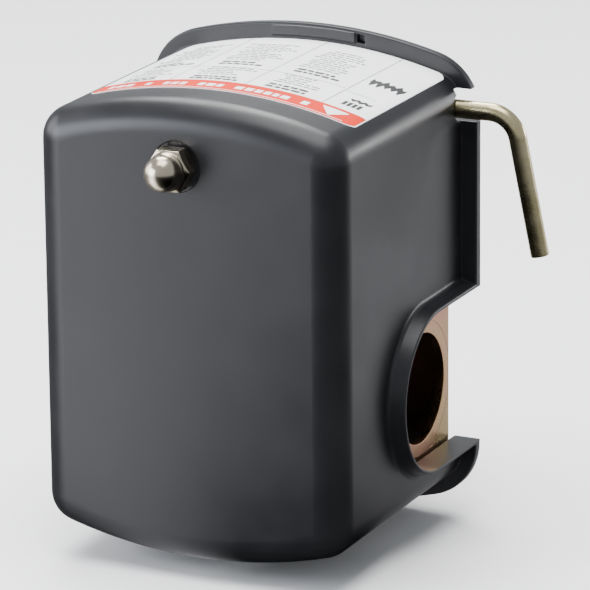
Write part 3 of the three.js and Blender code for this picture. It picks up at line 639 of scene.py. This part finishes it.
COMB_FRONT, COMB_REAR = -37.6, -35.2
RULE, RULE_LEFT_Y, RULE_RIGHT_Y = 0.16, -28.6, -29.8  # width of the thin lines, two of their places


def crown_sheet(name, places, front, rear, under, over):
    """Thin closed sheet on the crown; front(x) and rear(x) give its edges at each x of places."""
    rings = []
    for x in places:
        edges = [(front(x), under), (rear(x), under), (rear(x), over), (front(x), over)]
        rings.append([(x, y, cover_top(inset, x)) for y, inset in edges])
    return loft(name, rings)


def corner_pull(x, low, high, radius):
    """How far a rounded corner draws an edge in at x."""
    inside = max(low + radius - x, x - high + radius, 0)
    return radius - sqrt(max(radius ** 2 - inside ** 2, 0))


def sheet_places(low, high, radius):
    """Places along x, close together in the rounded corners."""
    corner = [radius * (1 - cos(radians(a))) for a in range(0, 91, 10)]
    corner[0] = 0.01
    inner = spread(low + radius, high - radius, 24)[1:-1]
    return [low + c for c in corner] + inner + [high - c for c in reversed(corner)]


def bar(low_x, high_x, low_y, high_y, under=INK_UNDER, over=INK_OVER):
    """Printed bar: a thin raised slab on the sheet."""
    places = spread(low_x, high_x, max(1, round((high_x - low_x) / 3)))
    return crown_sheet("ink", places, lambda x: low_y, lambda x: high_y, under, over)


def burst(rng, x, y, width, depth, teeth):
    """Printed jagged star: a slab whose two edges have uneven teeth."""
    places = [x + width * (i / (2 * teeth) - 0.5) for i in range(2 * teeth + 1)]
    front = {p: rng.uniform(0.6, 1) if i % 2 else 0.15 for i, p in enumerate(places)}
    rear = {p: 0.2 if i % 2 else rng.uniform(0.3, 0.8) for i, p in enumerate(places)}
    return crown_sheet(
        "ink", places, lambda p: y - depth / 2 * front[p], lambda p: y + depth / 2 * rear[p],
        INK_UNDER, INK_OVER)


def gather(name, parts, finish):
    """Joins separate slabs of one ink into one piece on the cover."""
    with bpy.context.temp_override(active_object=parts[0], selected_editable_objects=parts):
        bpy.ops.object.join()
    parts[0].name = name
    finish_piece(parts[0], "cover", finish)


def text_row(rng, low, high, y, height):
    """Bars of uneven length with gaps, standing for one line of print."""
    gap, shortest_end = 0.35, 0.8
    bars = []
    x = low
    while x < high - shortest_end:
        length = min(rng.uniform(0.6, 1.9), high - x)
        bars.append(bar(x, x + length, y - height / 2, y + height / 2))
        x += length + gap
    return bars


def column_print(rng, low, high):
    """Two headings of bold bars, each over rows of fine print."""
    bold, fine = [], []
    for heading, rows in PRINT_BLOCKS:
        for i in range(2):
            end = high - INDENT - rng.uniform(0, 3)
            bold += text_row(rng, low + INDENT + 2, end, heading + BOLD_STEP * i, BOLD_HEIGHT)
        for i in range(rows):
            end = high - INDENT - rng.uniform(0, 5)
            start = low + INDENT + rng.uniform(0.5, 3)
            fine += text_row(rng, start, end, heading + FINE_DROP + FINE_STEP * i, FINE_HEIGHT)
    return bold, fine


def make_label():
    """Sticker on the crown with an orange band along its front and generic print."""
    low, high = LABEL_LOW, LABEL_HIGH
    sheet = crown_sheet(
        "label_fine", sheet_places(low.x, high.x, LABEL_CORNER),
        lambda x: low.y + corner_pull(x, low.x, high.x, LABEL_CORNER),
        lambda x: high.y - corner_pull(x, low.x, high.x, LABEL_CORNER), SHEET_UNDER, SHEET_OVER)
    finish_piece(sheet, "cover", "label_paper", ["cover_label"])
    inset = 0.15
    radius = LABEL_CORNER - inset
    x0, x1 = low.x + inset, high.x - inset
    band = crown_sheet(
        "label_band", sheet_places(x0, x1, radius),
        lambda x: low.y + inset + corner_pull(x, x0, x1, radius), lambda x: BAND_REAR,
        INK_UNDER, INK_OVER)
    finish_piece(band, "cover", "ink_orange")
    rng = random.Random(INK_SEED)
    make_column_print(rng)
    make_band_print(rng)


def rules():
    """Thin lines between the columns and across them."""
    front, rear = BAND_REAR + 0.2, LABEL_HIGH.y - 0.4
    lines = [bar(x - RULE / 2, x + RULE / 2, front, rear) for x in COLUMNS[1:4]]
    for start, end, y in (
        (COLUMNS[0] + 0.6, COLUMNS[3] - 0.6, RULE_LEFT_Y),
        (COLUMNS[3] + 0.3, COLUMNS[4] - 0.4, RULE_RIGHT_Y),
    ):
        lines.append(bar(start, end, y - RULE / 2, y + RULE / 2))
    return lines


def make_column_print(rng):
    """Print in the three text columns and the marks in the narrow one."""
    bold, fine = [], []
    for left, right in zip(COLUMNS[:3], COLUMNS[1:4]):
        more_bold, more_fine = column_print(rng, left, right)
        bold += more_bold
        fine += more_fine
    mark_x = (COLUMNS[3] + COLUMNS[4]) / 2
    bold += [burst(rng, mark_x + x, *values) for x, *values in BURSTS]
    bold += [bar(mark_x - 2 + i, mark_x - 1.3 + i, COMB_FRONT, COMB_REAR) for i in range(4)]
    gather("label_bold_print", bold, "ink_dark")
    gather("label_fine_print", fine + rules(), "ink_grey")


def make_band_print(rng):
    """Pale blocks, a plain triangle and a thin line on the orange band."""
    centre = (LABEL_LOW.y + BAND_REAR) / 2
    pale = []
    x, last = LABEL_LOW.x + 3, 18.5
    while x < last:
        width = rng.uniform(1.1, 1.7)
        pale.append(bar(x, x + width, centre - 1.0, centre + 1.0, *BAND_LAYER))
        x += width + 0.5
        if rng.random() < 0.2:
            x += 2.2
    sign, half = 23.6, 2.6
    places = [sign + half * (i / 4 - 1) for i in range(9)]
    pale.append(crown_sheet(
        "ink", places, lambda p: centre - 2.1 + 3.8 * abs(p - sign) / half, lambda p: centre + 2.1,
        *BAND_LAYER))
    pale.append(bar(
        LABEL_LOW.x + 1.5, LABEL_HIGH.x - 2.5, LABEL_LOW.y + 0.75, LABEL_LOW.y + 0.95, *BAND_LAYER))
    gather("label_pale_print", pale, "ink_pale")


# -------- cap nut and lever
def make_cap_nut():
    """Acorn nut: chamfered hexagon, a neck and a dome, with a threaded blind bore."""
    low, high = span("cap_nut")
    seat = high.y
    corner = (high.x - low.x) / 2
    hex_front, chamfer = seat - 4.3, 0.6
    dome_radius, bore_depth = 3.5, 7.2
    nut = hex_body("cap_nut_fine", corner * sqrt(3), *STUD, hex_front, seat, [
        (0, hex_front), (corner - 2.0 * chamfer, hex_front), (corner, hex_front + 1.3 * chamfer),
        (corner, seat - chamfer), (corner - 1.6 * chamfer, seat), (0, seat),
    ], 96)
    neck = [
        (0, seat - 1), (dome_radius + 0.25, seat - 1), (dome_radius + 0.25, hex_front - 0.15),
        (dome_radius + 0.12, hex_front - 0.45), (dome_radius, hex_front - 0.8),
    ]
    dome = arc(0, low.y + dome_radius, dome_radius, 0, -84, 14)
    join(nut, turned("dome", [*neck, *dome, (0, low.y)], *STUD, 96))
    soften(nut, 0.12)
    cut(nut, threaded_bar(
        "thread", RANGE_STUD + 0.55, RANGE_PITCH, 0.3, *STUD, seat - bore_depth, seat + 1))
    finish_piece(nut, "cap_nut", "nickel", ["cap_nut"])


def rod_frames(start_x, y):
    """Centre and two normals at stations along the bent rod."""
    corner, end = Vector((ROD_CORNER_X, y, ROD_Z)), Vector((ROD_END_X, y, ROD_END_Z))
    down = (end - corner).normalized()
    turn = acos(down.x)
    setback = ROD_BEND * tan(turn / 2)
    bend_x = corner.x - setback
    places = [(Vector((x, y, ROD_Z)), 0) for x in spread(start_x, bend_x, 10)[:-1]]
    for i in range(19):
        angle = turn * i / 18
        x, drop = bend_x + ROD_BEND * sin(angle), ROD_BEND * (1 - cos(angle))
        places.append((Vector((x, y, ROD_Z - drop)), angle))
    first = corner + down * setback
    places += [(first.lerp(end, i / 10), turn) for i in range(1, 11)]
    across = Vector((0, 1, 0))
    return [(centre, across, Vector((sin(a), 0, cos(a)))) for centre, a in places]


def make_cutoff_lever():
    """One bent rod with a flattened inner tip and a square-cut end."""
    low, high = span("cutoff_lever")
    y = (low.y + high.y) / 2
    flat_end, flat, wide = 7.6, 1.1, 2.3
    rod = sweep("cutoff_lever_fine", rod_frames(flat_end - 1, y), ROD_RADIUS, 40)
    tip = rounded(y - flat, y + flat, ROD_Z - wide, ROD_Z + wide, 0.9)
    join(rod, prism("tip", tip, "X", low.x, flat_end))
    soften(rod, 0.14)
    finish_piece(rod, "cutoff_lever", "rod_zinc", ["cutoff_lever"])


# -------- frame
FRAME_LOW, FRAME_HIGH = span("frame")
PLATE_HALF_WIDTH, PLATE_HALF_HEIGHT, PLATE_CORNER = 29.4, FRAME_HIGH.z, 6.0
EAR_LOW, EAR_HIGH, EAR_FRONT, EAR_CORNER = -36.0, 2.5, FRAME_LOW.y, 5.0
LUG_X, LUG_FRONT, LUG_LOW, LUG_HIGH = 18.7, -20.0, -20.0, -6.0
ROD_LUGS = (9.6, 25.0)
SEAT_RADIUS, SEAT_PROUD = 13.8, 0.2
PLAY = 0.15  # how much wider a hole is than what goes through it, in radius
PIVOTS = ((-10.2, -12.0, 1.5), (-16.5, -14.0, 1.4))  # y, z, radius
PORT_HOLE = 8.8
SCREW_HOLES = (
    ("housing_screw", 6, HOUSING_SCREW), ("block_screw", 2, BLOCK_SCREW),
    ("ground_screw", 2, GROUND_SCREW))


def tongue(name, x0, x1, front, low, high, corner, rear):
    """Plate across X with both front corners rounded and a square rear end."""
    outline = arc(front + corner, high - corner, corner, 90, 180, 10)
    outline += arc(front + corner, low + corner, corner, 180, 270, 10)
    outline += [(rear, low), (rear, high)]
    return prism(name, outline, "X", min(x0, x1), max(x0, x1))


def bend_relief(side):
    """What the bend between base and ear leaves out of the square corner."""
    start, far = PLATE_HALF_WIDTH - BEND_RADIUS, PLATE_HALF_WIDTH + 1
    curve = arc(start, -BEND_RADIUS, BEND_RADIUS, 90, 0, 8)
    outline = [*curve, (far, -BEND_RADIUS), (far, 1), (start, 1)]
    return prism("bend", [(side * x, y) for x, y in outline], "Z", EAR_LOW - 0.5, EAR_HIGH + 0.5)


def frame_parts():
    """Ears with their seat rings, pivot lugs and rod lugs."""
    thick, half = PLATE_THICK, PLATE_HALF_WIDTH
    parts = []
    for side in (1, -1):
        parts.append(tongue(
            "ear", side * half, side * (half - thick), EAR_FRONT, EAR_LOW, EAR_HIGH, EAR_CORNER, 0))
        ends = sorted((side * (half - thick / 2), side * (half + SEAT_PROUD)))
        parts.append(prism("seat", circle(*CONDUIT, SEAT_RADIUS, 72), "X", *ends))
        parts.append(tongue(
            "lug", side * LUG_X, side * (LUG_X + thick), LUG_FRONT, LUG_LOW, LUG_HIGH, 3, -thick / 2))
    for x in ROD_LUGS:
        parts.append(tongue(
            "rod_lug", x, x + thick, ROD_Y - 4.2, ROD_Z - 3.6, ROD_Z + 3.6, 3, -thick / 2))
    return parts


def frame_holes():
    """Cutters for the frame, each reaching past the sheet on both sides."""
    tools = [bend_relief(1), bend_relief(-1)]
    tools.append(prism("conduit", circle(*CONDUIT, CONDUIT_RADIUS, 96), "X", -40, 40))
    tools += [prism("pin", circle(y, z, radius + PLAY, 32), "X", -25, 25) for y, z, radius in PIVOTS]
    tools.append(prism("rod", circle(ROD_Y, ROD_Z, ROD_RADIUS + PLAY, 32), "X", 0, 30))
    holes = [(0, 0, PORT_HOLE)]
    for node, radius in (("range_stud", RANGE_STUD), ("differential_stud", DIFFERENTIAL_STUD)):
        holes.append((*axis_of(node), radius + PLAY))
    for prefix, count, radius in SCREW_HOLES:
        holes += [(x, z, radius + PLAY) for x, z in screw_places(prefix, count)]
    return tools + [prism("hole", circle(x, z, radius, 40), "Y", -5, 1) for x, z, radius in holes]


def make_frame():
    """Stamped base plate with its bent-up ears and lugs."""
    half, tall = PLATE_HALF_WIDTH, PLATE_HALF_HEIGHT
    plate = prism("frame_fine", rounded(-half, half, -tall, tall, PLATE_CORNER), "Y", -PLATE_THICK, 0)
    join(plate, *frame_parts())
    cut(plate, *frame_holes())
    soften(plate, 0.18)
    finish_piece(plate, "base", "yellow_zinc", ["frame"])


# -------- pressure side
def housing_port(end):
    """Hexagonal port with rounded edges and a chamfered end."""
    corner = PORT_FLATS / sqrt(3)
    port = prism("port", hexagon(PORT_FLATS, 0, 0), "Y", CUP_FACE - 1, end)
    soften(port, 0.25)
    blank = turned("blank", [
        (0, CUP_FACE - 2), (corner + 1, CUP_FACE - 2), (corner + 1, end - 2), (corner, end - 0.9),
        (corner - 1.3, end), (0, end),
    ], 0, 0, 96)
    return combine(port, "INTERSECT", blank)


def make_housing():
    """Pressed cup with a hexagonal port whose bore has a real pipe thread."""
    low, high = span("diaphragm_housing")
    radius, front, end = high.x, low.y, high.y
    cup = turned("diaphragm_housing_fine", [
        (0, front), (radius - 0.3, front), (radius, front + 0.3), (radius, FLANGE_REAR - 0.3),
        (radius - 0.3, FLANGE_REAR), (17.4, FLANGE_REAR), (16.8, 4.3), (16.5, 4.9), (15.7, 7.8),
        (14.9, 8.7), (13.6, CUP_FACE), (0, CUP_FACE),
    ], 0, 0, 96)
    cavity = [(0, front - 1), (14.5, front - 1), (14.5, 5.9), (13.9, 6.5), (0, 6.5)]
    holes = [
        prism("hole", circle(x, z, HOUSING_SCREW + PLAY, 24), "Y", 0, FLANGE_REAR + 1)
        for x, z in screw_places("housing_screw", 6)]
    cut(cup, turned("cavity", cavity, 0, 0, 64), *holes)
    soften(cup, 0.12)
    join(cup, housing_port(end))
    sink = [(0, end - 0.9), (5.9, end - 0.9), (7.0, end + 0.2), (0, end + 0.2)]
    orifice = prism("orifice", circle(0, 0, 1.6, 24), "Y", front - 1, end)
    cut(cup, orifice, turned("sink", sink, 0, 0, 64))
    cut(cup, threaded_bar(
        "pipe_thread", PORT_THREAD, PORT_PITCH, 0.75, 0, 0, end - PORT_DEPTH, end + 1, 48))
    finish_piece(cup, "base", "white_zinc", ["diaphragm_housing"])


def make_diaphragm():
    """Flat rubber disc with a half-round ridge."""
    low, high = span("diaphragm")
    front, rear, edge = low.y, low.y + 1, 0.2
    ridge = arc(12.6, rear, 0.9, 0, 180, 8)
    rim = turned("diaphragm_fine", [
        (0, front), (high.x - edge, front), (high.x, front + edge), (high.x, rear - edge),
        (high.x - edge, rear), (14.6, rear), *ridge, (0, rear),
    ], 0, 0, 72)
    finish_piece(rim, "base", "rubber", ["diaphragm"])


def make_plunger():
    """Turned disc with a stem that lifts the actuator."""
    low, high = span("plunger")
    plate = turned("plunger_fine", [
        (0, low.y), (2.3, low.y), (2.8, low.y + 0.25), (3, low.y + 0.7), (3, -2.3), (3.4, -1.9),
        (high.x - 0.3, -1.9), (high.x, -1.6), (high.x, -0.2), (high.x - 0.2, 0), (0, 0),
    ], 0, 0, 64)
    finish_piece(plate, "plunger", "brass", ["plunger"])


def make_housing_screws():
    """Hexagonal screws with a shallow dish in each head."""
    corner = HOUSING_FLATS / sqrt(3)
    for i, (x, z) in enumerate(screw_places("housing_screw", 6), 1):
        low, high = span(f"housing_screw_{i}")
        seat, top = high.y - 2, high.y
        head = hex_body(f"housing_screw_{i}_fine", HOUSING_FLATS, x, z, seat, top, [
            (0, seat - 1), (corner + 1, seat - 1), (corner, top - 0.45), (corner - 0.75, top),
            (1.9, top), (1.6, top - 0.35), (0, top - 0.35),
        ], 48)
        soften(head, 0.08)
        join(head, threaded_bar("shank", HOUSING_SCREW, 0.6, 0.18, x, z, low.y, seat + 0.5, 20))
        finish_piece(head, "base", "white_zinc", [f"housing_screw_{i}"])


# -------- springs, studs, cups and nuts
def make_stud(name, radius, pitch, thread_rear):
    """Stud with a plain shank, a thread in front and a flat head behind the plate."""
    node = f"{name}_stud"
    low, high, x, z = upright(node)
    head_radius = (high.x - low.x) / 2
    seat, edge = high.y - 1.4, 0.15
    head = turned(f"{node}_fine", [
        (0, thread_rear - 0.2), (radius - 0.3, thread_rear - 0.2), (radius, thread_rear + 0.4),
        (radius, seat), (head_radius - edge, seat), (head_radius, seat + edge),
        (head_radius, high.y - 0.5), (head_radius - 0.5, high.y), (0, high.y),
    ], x, z, 64)
    soften(head, 0.06)
    join(head, threaded_bar("thread", radius, pitch, 0.16 * radius, x, z, low.y, thread_rear, 32))
    finish_piece(head, "base", "white_zinc", [node])


def make_spring(name, wire, turns):
    """Compression spring round a stud."""
    node = f"{name}_spring"
    low, high = span(node)
    x, z = axis_of(f"{name}_stud")
    radius = (high.x - low.x) / 2 - wire / 2
    spring = coil(
        f"{node}_fine", (x, high.y - wire / 2, z), (x, low.y + wire / 2, z), radius, wire, turns)
    finish_piece(spring, "base", "spring_steel", [node])
    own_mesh(spring)


def make_cup(name, radius, pilot):
    """Spring cup: a washer with a raised pilot that centres the spring."""
    node = f"{name}_spring_cup"
    low, high = span(node)
    outer = (high.x - low.x) / 2
    bore, seat, edge, sink = radius + 0.15, low.y + 1.2, 0.25, 0.2
    cup = turned(f"{node}_fine", [
        (bore + sink, low.y), (outer - edge, low.y), (outer, low.y + edge), (outer, seat - edge),
        (outer - edge, seat), (pilot + sink, seat), (pilot, seat + sink), (pilot - 0.3, high.y - 0.3),
        (pilot - 0.6, high.y), (bore + sink, high.y), (bore, high.y - sink), (bore, low.y + sink),
    ], *axis_of(node), 72)
    finish_piece(cup, f"{name}_cup", "white_zinc", [node])


def make_adjusting_nut(name, radius):
    node = f"{name}_nut"
    low, high = span(node)
    flats = (high.x - low.x) / 2 * sqrt(3)
    nut = hex_nut(f"{node}_fine", flats, 0.35, radius + 0.15, *axis_of(node), low.y, high.y)
    soften(nut, 0.08)
    finish_piece(nut, node, "white_zinc", [node])


def make_snap_spring():
    """Small coil between the actuator's finger and the contact carrier."""
    spring = coil("snap_spring_fine", (0, -9.7, -21), (0, -19.6, -27), 1.9, 0.8, 5)
    finish_piece(spring, "contact_carrier", "spring_steel", ["snap_spring"])


def make_adjusters():
    """Both studs with their springs, cups and nuts."""
    studs = (("range", RANGE_STUD, 4.5), ("differential", DIFFERENTIAL_STUD, 3.0))
    make_stud("range", RANGE_STUD, RANGE_PITCH, -30)
    make_stud("differential", DIFFERENTIAL_STUD, DIFFERENTIAL_PITCH, -18)
    make_spring("range", 2.2, 6.5)
    make_spring("differential", 1.1, 7.5)
    for name, radius, pilot in studs:
        make_cup(name, radius, pilot)
    for name, radius, pilot in studs:
        make_adjusting_nut(name, radius)


# -------- contacts and small parts
def driver_slot(x, z, start, end):
    """Cutter for a driver slot, longer than any head is wide."""
    reach = 6
    return block("slot", (x - reach, start, z - DRIVER_SLOT), (x + reach, end, z + DRIVER_SLOT))


def make_slotted_screw(node, head_radius, thick, shank_radius, side, finish):
    """Pan-head screw with a driver slot; side is -1 when its head faces the front, +1 the rear."""
    low, high, x, z = upright(node)
    face = low.y + thick if side < 0 else high.y - thick
    tip = high.y if side < 0 else low.y
    head = turned(f"{node}_fine", domed_head(head_radius, thick, face, side), x, z, 48)
    top, depth = face + side * thick, 0.55 * thick
    cut(head, driver_slot(x, z, *sorted((top + side, top - side * depth))))
    soften(head, 0.07)
    start, end = sorted((tip, face + side * 0.3))
    join(head, threaded_bar("shank", shank_radius, 0.7, 0.22, x, z, start, end, 20))
    finish_piece(head, "base", finish, [node])


def make_ground_screw(node):
    """Green hexagonal grounding screw with a driver slot."""
    low, high, x, z = upright(node)
    seat = low.y + 2.6
    corner = GROUND_FLATS / sqrt(3)
    head = hex_body(f"{node}_fine", GROUND_FLATS, x, z, low.y, seat, [
        (0, low.y), (corner - 0.8, low.y), (corner, low.y + 0.45), (corner, seat + 1), (0, seat + 1),
    ], 48)
    washer = [(0, seat - 0.7), (3.9, seat - 0.7), (3.9, seat), (0, seat)]
    join(head, turned("washer", washer, x, z, 48))
    cut(head, driver_slot(x, z, low.y - 1, low.y + 1.1))
    soften(head, 0.08)
    join(head, threaded_bar("shank", GROUND_SCREW, 0.8, 0.25, x, z, seat - 0.5, high.y, 24))
    finish_piece(head, "base", "green_zinc", [node])


def make_refined(node, body, finish, width):
    """Piece with a CAD node's own shape and softened edges."""
    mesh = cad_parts[node].data.copy()
    piece = place_object(f"{node}_fine", mesh)
    mesh.transform(Matrix.Scale(1 / MM, 4) @ Matrix.Translation((0, -BASE_Y, 0)))
    edit(piece, lambda bm: bmesh.ops.remove_doubles(bm, verts=bm.verts, dist=0.001))
    finish_piece(soften(piece, width), body, finish, [node])


REFINED = (
    ("contact_block", "base", "phenolic", 0.25),
    ("actuator_lever", "actuator", "white_zinc", 0.15),
    ("contact_carrier", "contact_carrier", "phenolic", 0.2),
    ("contact_bridge_left", "contact_carrier", "brass", 0.1),
    ("contact_bridge_right", "contact_carrier", "brass", 0.1),
)


def make_contacts():
    """Contact block, terminals, moving contacts and the screws around them."""
    for row in REFINED:
        make_refined(*row)
    for i in range(1, 5):
        make_refined(f"terminal_{i}", "base", "brass", 0.12)
        make_refined(f"terminal_clamp_{i}", "base", "white_zinc", 0.12)
        make_slotted_screw(f"terminal_screw_{i}", 3.4, 2.5, TERMINAL_SCREW, -1, "brass")
    for i in (1, 2):
        make_slotted_screw(f"block_screw_{i}", 2.8, 2.0, BLOCK_SCREW, 1, "white_zinc")
        make_ground_screw(f"ground_screw_{i}")
    make_snap_spring()


def make_pivot_pin():
    """Plain pin with both ends chamfered."""
    node = "actuator_pivot_pin"
    low, high = span(node)
    centre, radius, chamfer = middle(node), (high.y - low.y) / 2, 0.3
    stations = [
        (low.x, radius - chamfer), (low.x + chamfer, radius),
        (high.x - chamfer, radius), (high.x, radius - chamfer)]
    pin = loft(f"{node}_fine", [
        [(x, y, z) for y, z in circle(centre.y, centre.z, r, 40)] for x, r in stations])
    finish_piece(pin, "base", "spring_steel", [node])


# -------- stage, lights and camera, in metres
TARGET = Vector((0.00693, -0.04842, 0.00032))
CAMERA_ANGLES = (25.5, 16.41, -0.53)  # azimuth, elevation and roll in degrees
CAMERA_DISTANCE, LENS, SENSOR = 0.89433, 279.27, 36

FLOOR_Z, FLOOR_DROP, FLOOR_SIZE = CAD_BOX[0][2], 0.0002, 3.0
CARD_CENTRE = (0.012, -0.060)
CARD_PAINTED_SHADE, CARD_REACH = 0.85, 0.13  # painted shade under the object: how much darker, and how far out
CARD_TINT = (0.95, 0.955, 1.0)
# Painted reflection of the floor: the card's glow at each azimuth in degrees, 0 being straight in
# front.
REFLECTED = (
    (-90, 0.25), (-65, 0.3), (-40, 4.6), (-15, 0.04), (20, 0.0), (90, 0.0), (115, 0.05),
    (140, 1.2), (165, 1.0), (195, 0.5), (225, 0.4), (260, 0.25))

# name, azimuth, elevation, distance, size, power, tint
SOFTBOXES = (
    ("overhead", 0, 88, 0.9, (0.6, 0.6), 5.5, (1, 1, 1)),
    ("left_low", -45, 17, 0.6, (0.4, 0.3), 3.4, (0.88, 0.92, 1)),
    ("left_side", -80, 22, 0.5, (0.25, 0.3), 1.0, (0.95, 0.97, 1)),
    ("left_back", -150, 50, 0.9, (0.4, 0.4), 6.0, (1, 1, 1)),
    ("right_strip", 150, 6, 0.9, (0.5, 0.06), 1.6, (1, 1, 1)),
)
FILL = ("fill", 0, 80, 0.9, (0.8, 0.8), 20.0, (1, 1, 1))  # lights matt surfaces only
WORLD_COLOUR, WORLD_STRENGTH = (0.90, 0.95, 1, 1), 0.55


def away_from(azimuth, elevation):
    """Unit vector from the object towards a studio direction; azimuth 0 is straight in front."""
    return Vector((
        sin(azimuth) * cos(elevation), -cos(azimuth) * cos(elevation),
        sin(elevation)))


def ground_sheet(name, z, finish):
    """Large flat square whose mesh lies at z."""
    reach = FLOOR_SIZE
    mesh = bpy.data.meshes.new(name)
    corners = [(-reach, -reach, z), (reach, -reach, z), (reach, reach, z), (-reach, reach, z)]
    mesh.from_pydata(corners, [], [(0, 1, 2, 3)])
    mesh.materials.append(finish)
    return place_object(name, mesh)


def make_floor():
    finish = material(
        "floor", [(0.86, 0.86, 0.865), (0.88, 0.88, 0.885)], 0, (0.7, 0.8), 2.0, 0.002, specular=0.2)
    ground_sheet("floor", FLOOR_Z - FLOOR_DROP, finish)


def painted_reflection_finish():
    """Painted reflection that varies round the object as REFLECTED says, with painted shade
    underneath it.
    """
    finish = bpy.data.materials.new("card")
    finish.use_nodes = True
    tree = finish.node_tree
    tree.nodes.remove(tree.nodes["Principled BSDF"])
    peak = max(level for azimuth, level in REFLECTED)
    place = add_node(tree, "ShaderNodeTexCoord")
    around = add_node(tree, "ShaderNodeTexGradient")
    around.gradient_type = "RADIAL"
    ramp = add_node(tree, "ShaderNodeValToRGB")
    fill_ramp(ramp, [
        (azimuth / 360 + 0.25, [level / peak * tint for tint in CARD_TINT])
        for azimuth, level in REFLECTED])
    squeeze = add_node(tree, "ShaderNodeMapping", Scale=[1 / CARD_REACH] * 3)
    # painted shade: the glow dims towards the middle, under the object
    under = add_node(tree, "ShaderNodeTexGradient")
    under.gradient_type = "SPHERICAL"
    painted_shade_fade = add_node(tree, "ShaderNodeMapRange", To_Min=peak, To_Max=peak * (1 - CARD_PAINTED_SHADE))
    glow = add_node(tree, "ShaderNodeEmission")
    link(
        tree, (place.outputs["Object"], squeeze.inputs["Vector"]),
        (squeeze.outputs["Vector"], under.inputs["Vector"]),
        (under.outputs["Fac"], painted_shade_fade.inputs["Value"]),
        (painted_shade_fade.outputs["Result"], glow.inputs["Strength"]),
        (place.outputs["Object"], around.inputs["Vector"]),
        (around.outputs["Fac"], ramp.inputs["Fac"]),
        (ramp.outputs["Color"], glow.inputs["Color"]),
        (glow.outputs["Emission"], tree.nodes["Material Output"].inputs["Surface"]))
    return finish


def make_painted_reflection_card():
    """Card on the floor that only reflections see; its glow is a painted reflection of the floor."""
    card = ground_sheet("card", 0, painted_reflection_finish())
    card.location = (*CARD_CENTRE, FLOOR_Z - FLOOR_DROP / 2)
    card.visible_camera = card.visible_shadow = False
    card.visible_diffuse = card.visible_transmission = False


def softbox(name, azimuth, elevation, distance, size, power, tint):
    """Rectangular soft light facing the object; its direction is in degrees."""
    away = away_from(radians(azimuth), radians(elevation))
    light = bpy.data.lights.new(name, "AREA")
    light.shape = "RECTANGLE"
    light.size, light.size_y = size
    light.energy = power
    light.color = tint
    lamp = place_object(name, light)
    lamp.location = TARGET + away * distance
    lamp.rotation_mode = "QUATERNION"
    lamp.rotation_quaternion = away.to_track_quat("Z", "Y")
    return lamp


def make_lights():
    """Soft studio: a pale world, the softboxes, and one fill that makes no reflection."""
    world = bpy.data.worlds.new("studio")
    world.use_nodes = True
    shade = world.node_tree.nodes["Background"]
    shade.inputs["Color"].default_value = WORLD_COLOUR
    shade.inputs["Strength"].default_value = WORLD_STRENGTH
    bpy.context.scene.world = world
    for box in SOFTBOXES:
        softbox(*box)
    softbox(*FILL).visible_glossy = False


def make_camera():
    azimuth, elevation, roll = (radians(a) for a in CAMERA_ANGLES)
    back = away_from(azimuth, elevation)
    right = (-back).cross(Vector((0, 0, 1))).normalized()
    up = right.cross(-back)
    across = cos(roll) * right + sin(roll) * up
    above = cos(roll) * up - sin(roll) * right
    data = bpy.data.cameras.new("camera")
    data.sensor_width = SENSOR
    data.lens = LENS
    data.clip_start, data.clip_end = 0.05, 20
    camera = place_object("camera", data)
    place = Matrix((across, above, back)).transposed().to_4x4()
    place.translation = TARGET + back * CAMERA_DISTANCE
    camera.matrix_world = place
    bpy.context.scene.camera = camera


make_camera()
make_cover()
make_label()
make_cap_nut()
make_cutoff_lever()
make_frame()
make_housing()
make_diaphragm()
make_plunger()
make_housing_screws()
make_adjusters()
make_contacts()
make_pivot_pin()
make_floor()
make_painted_reflection_card()
make_lights()
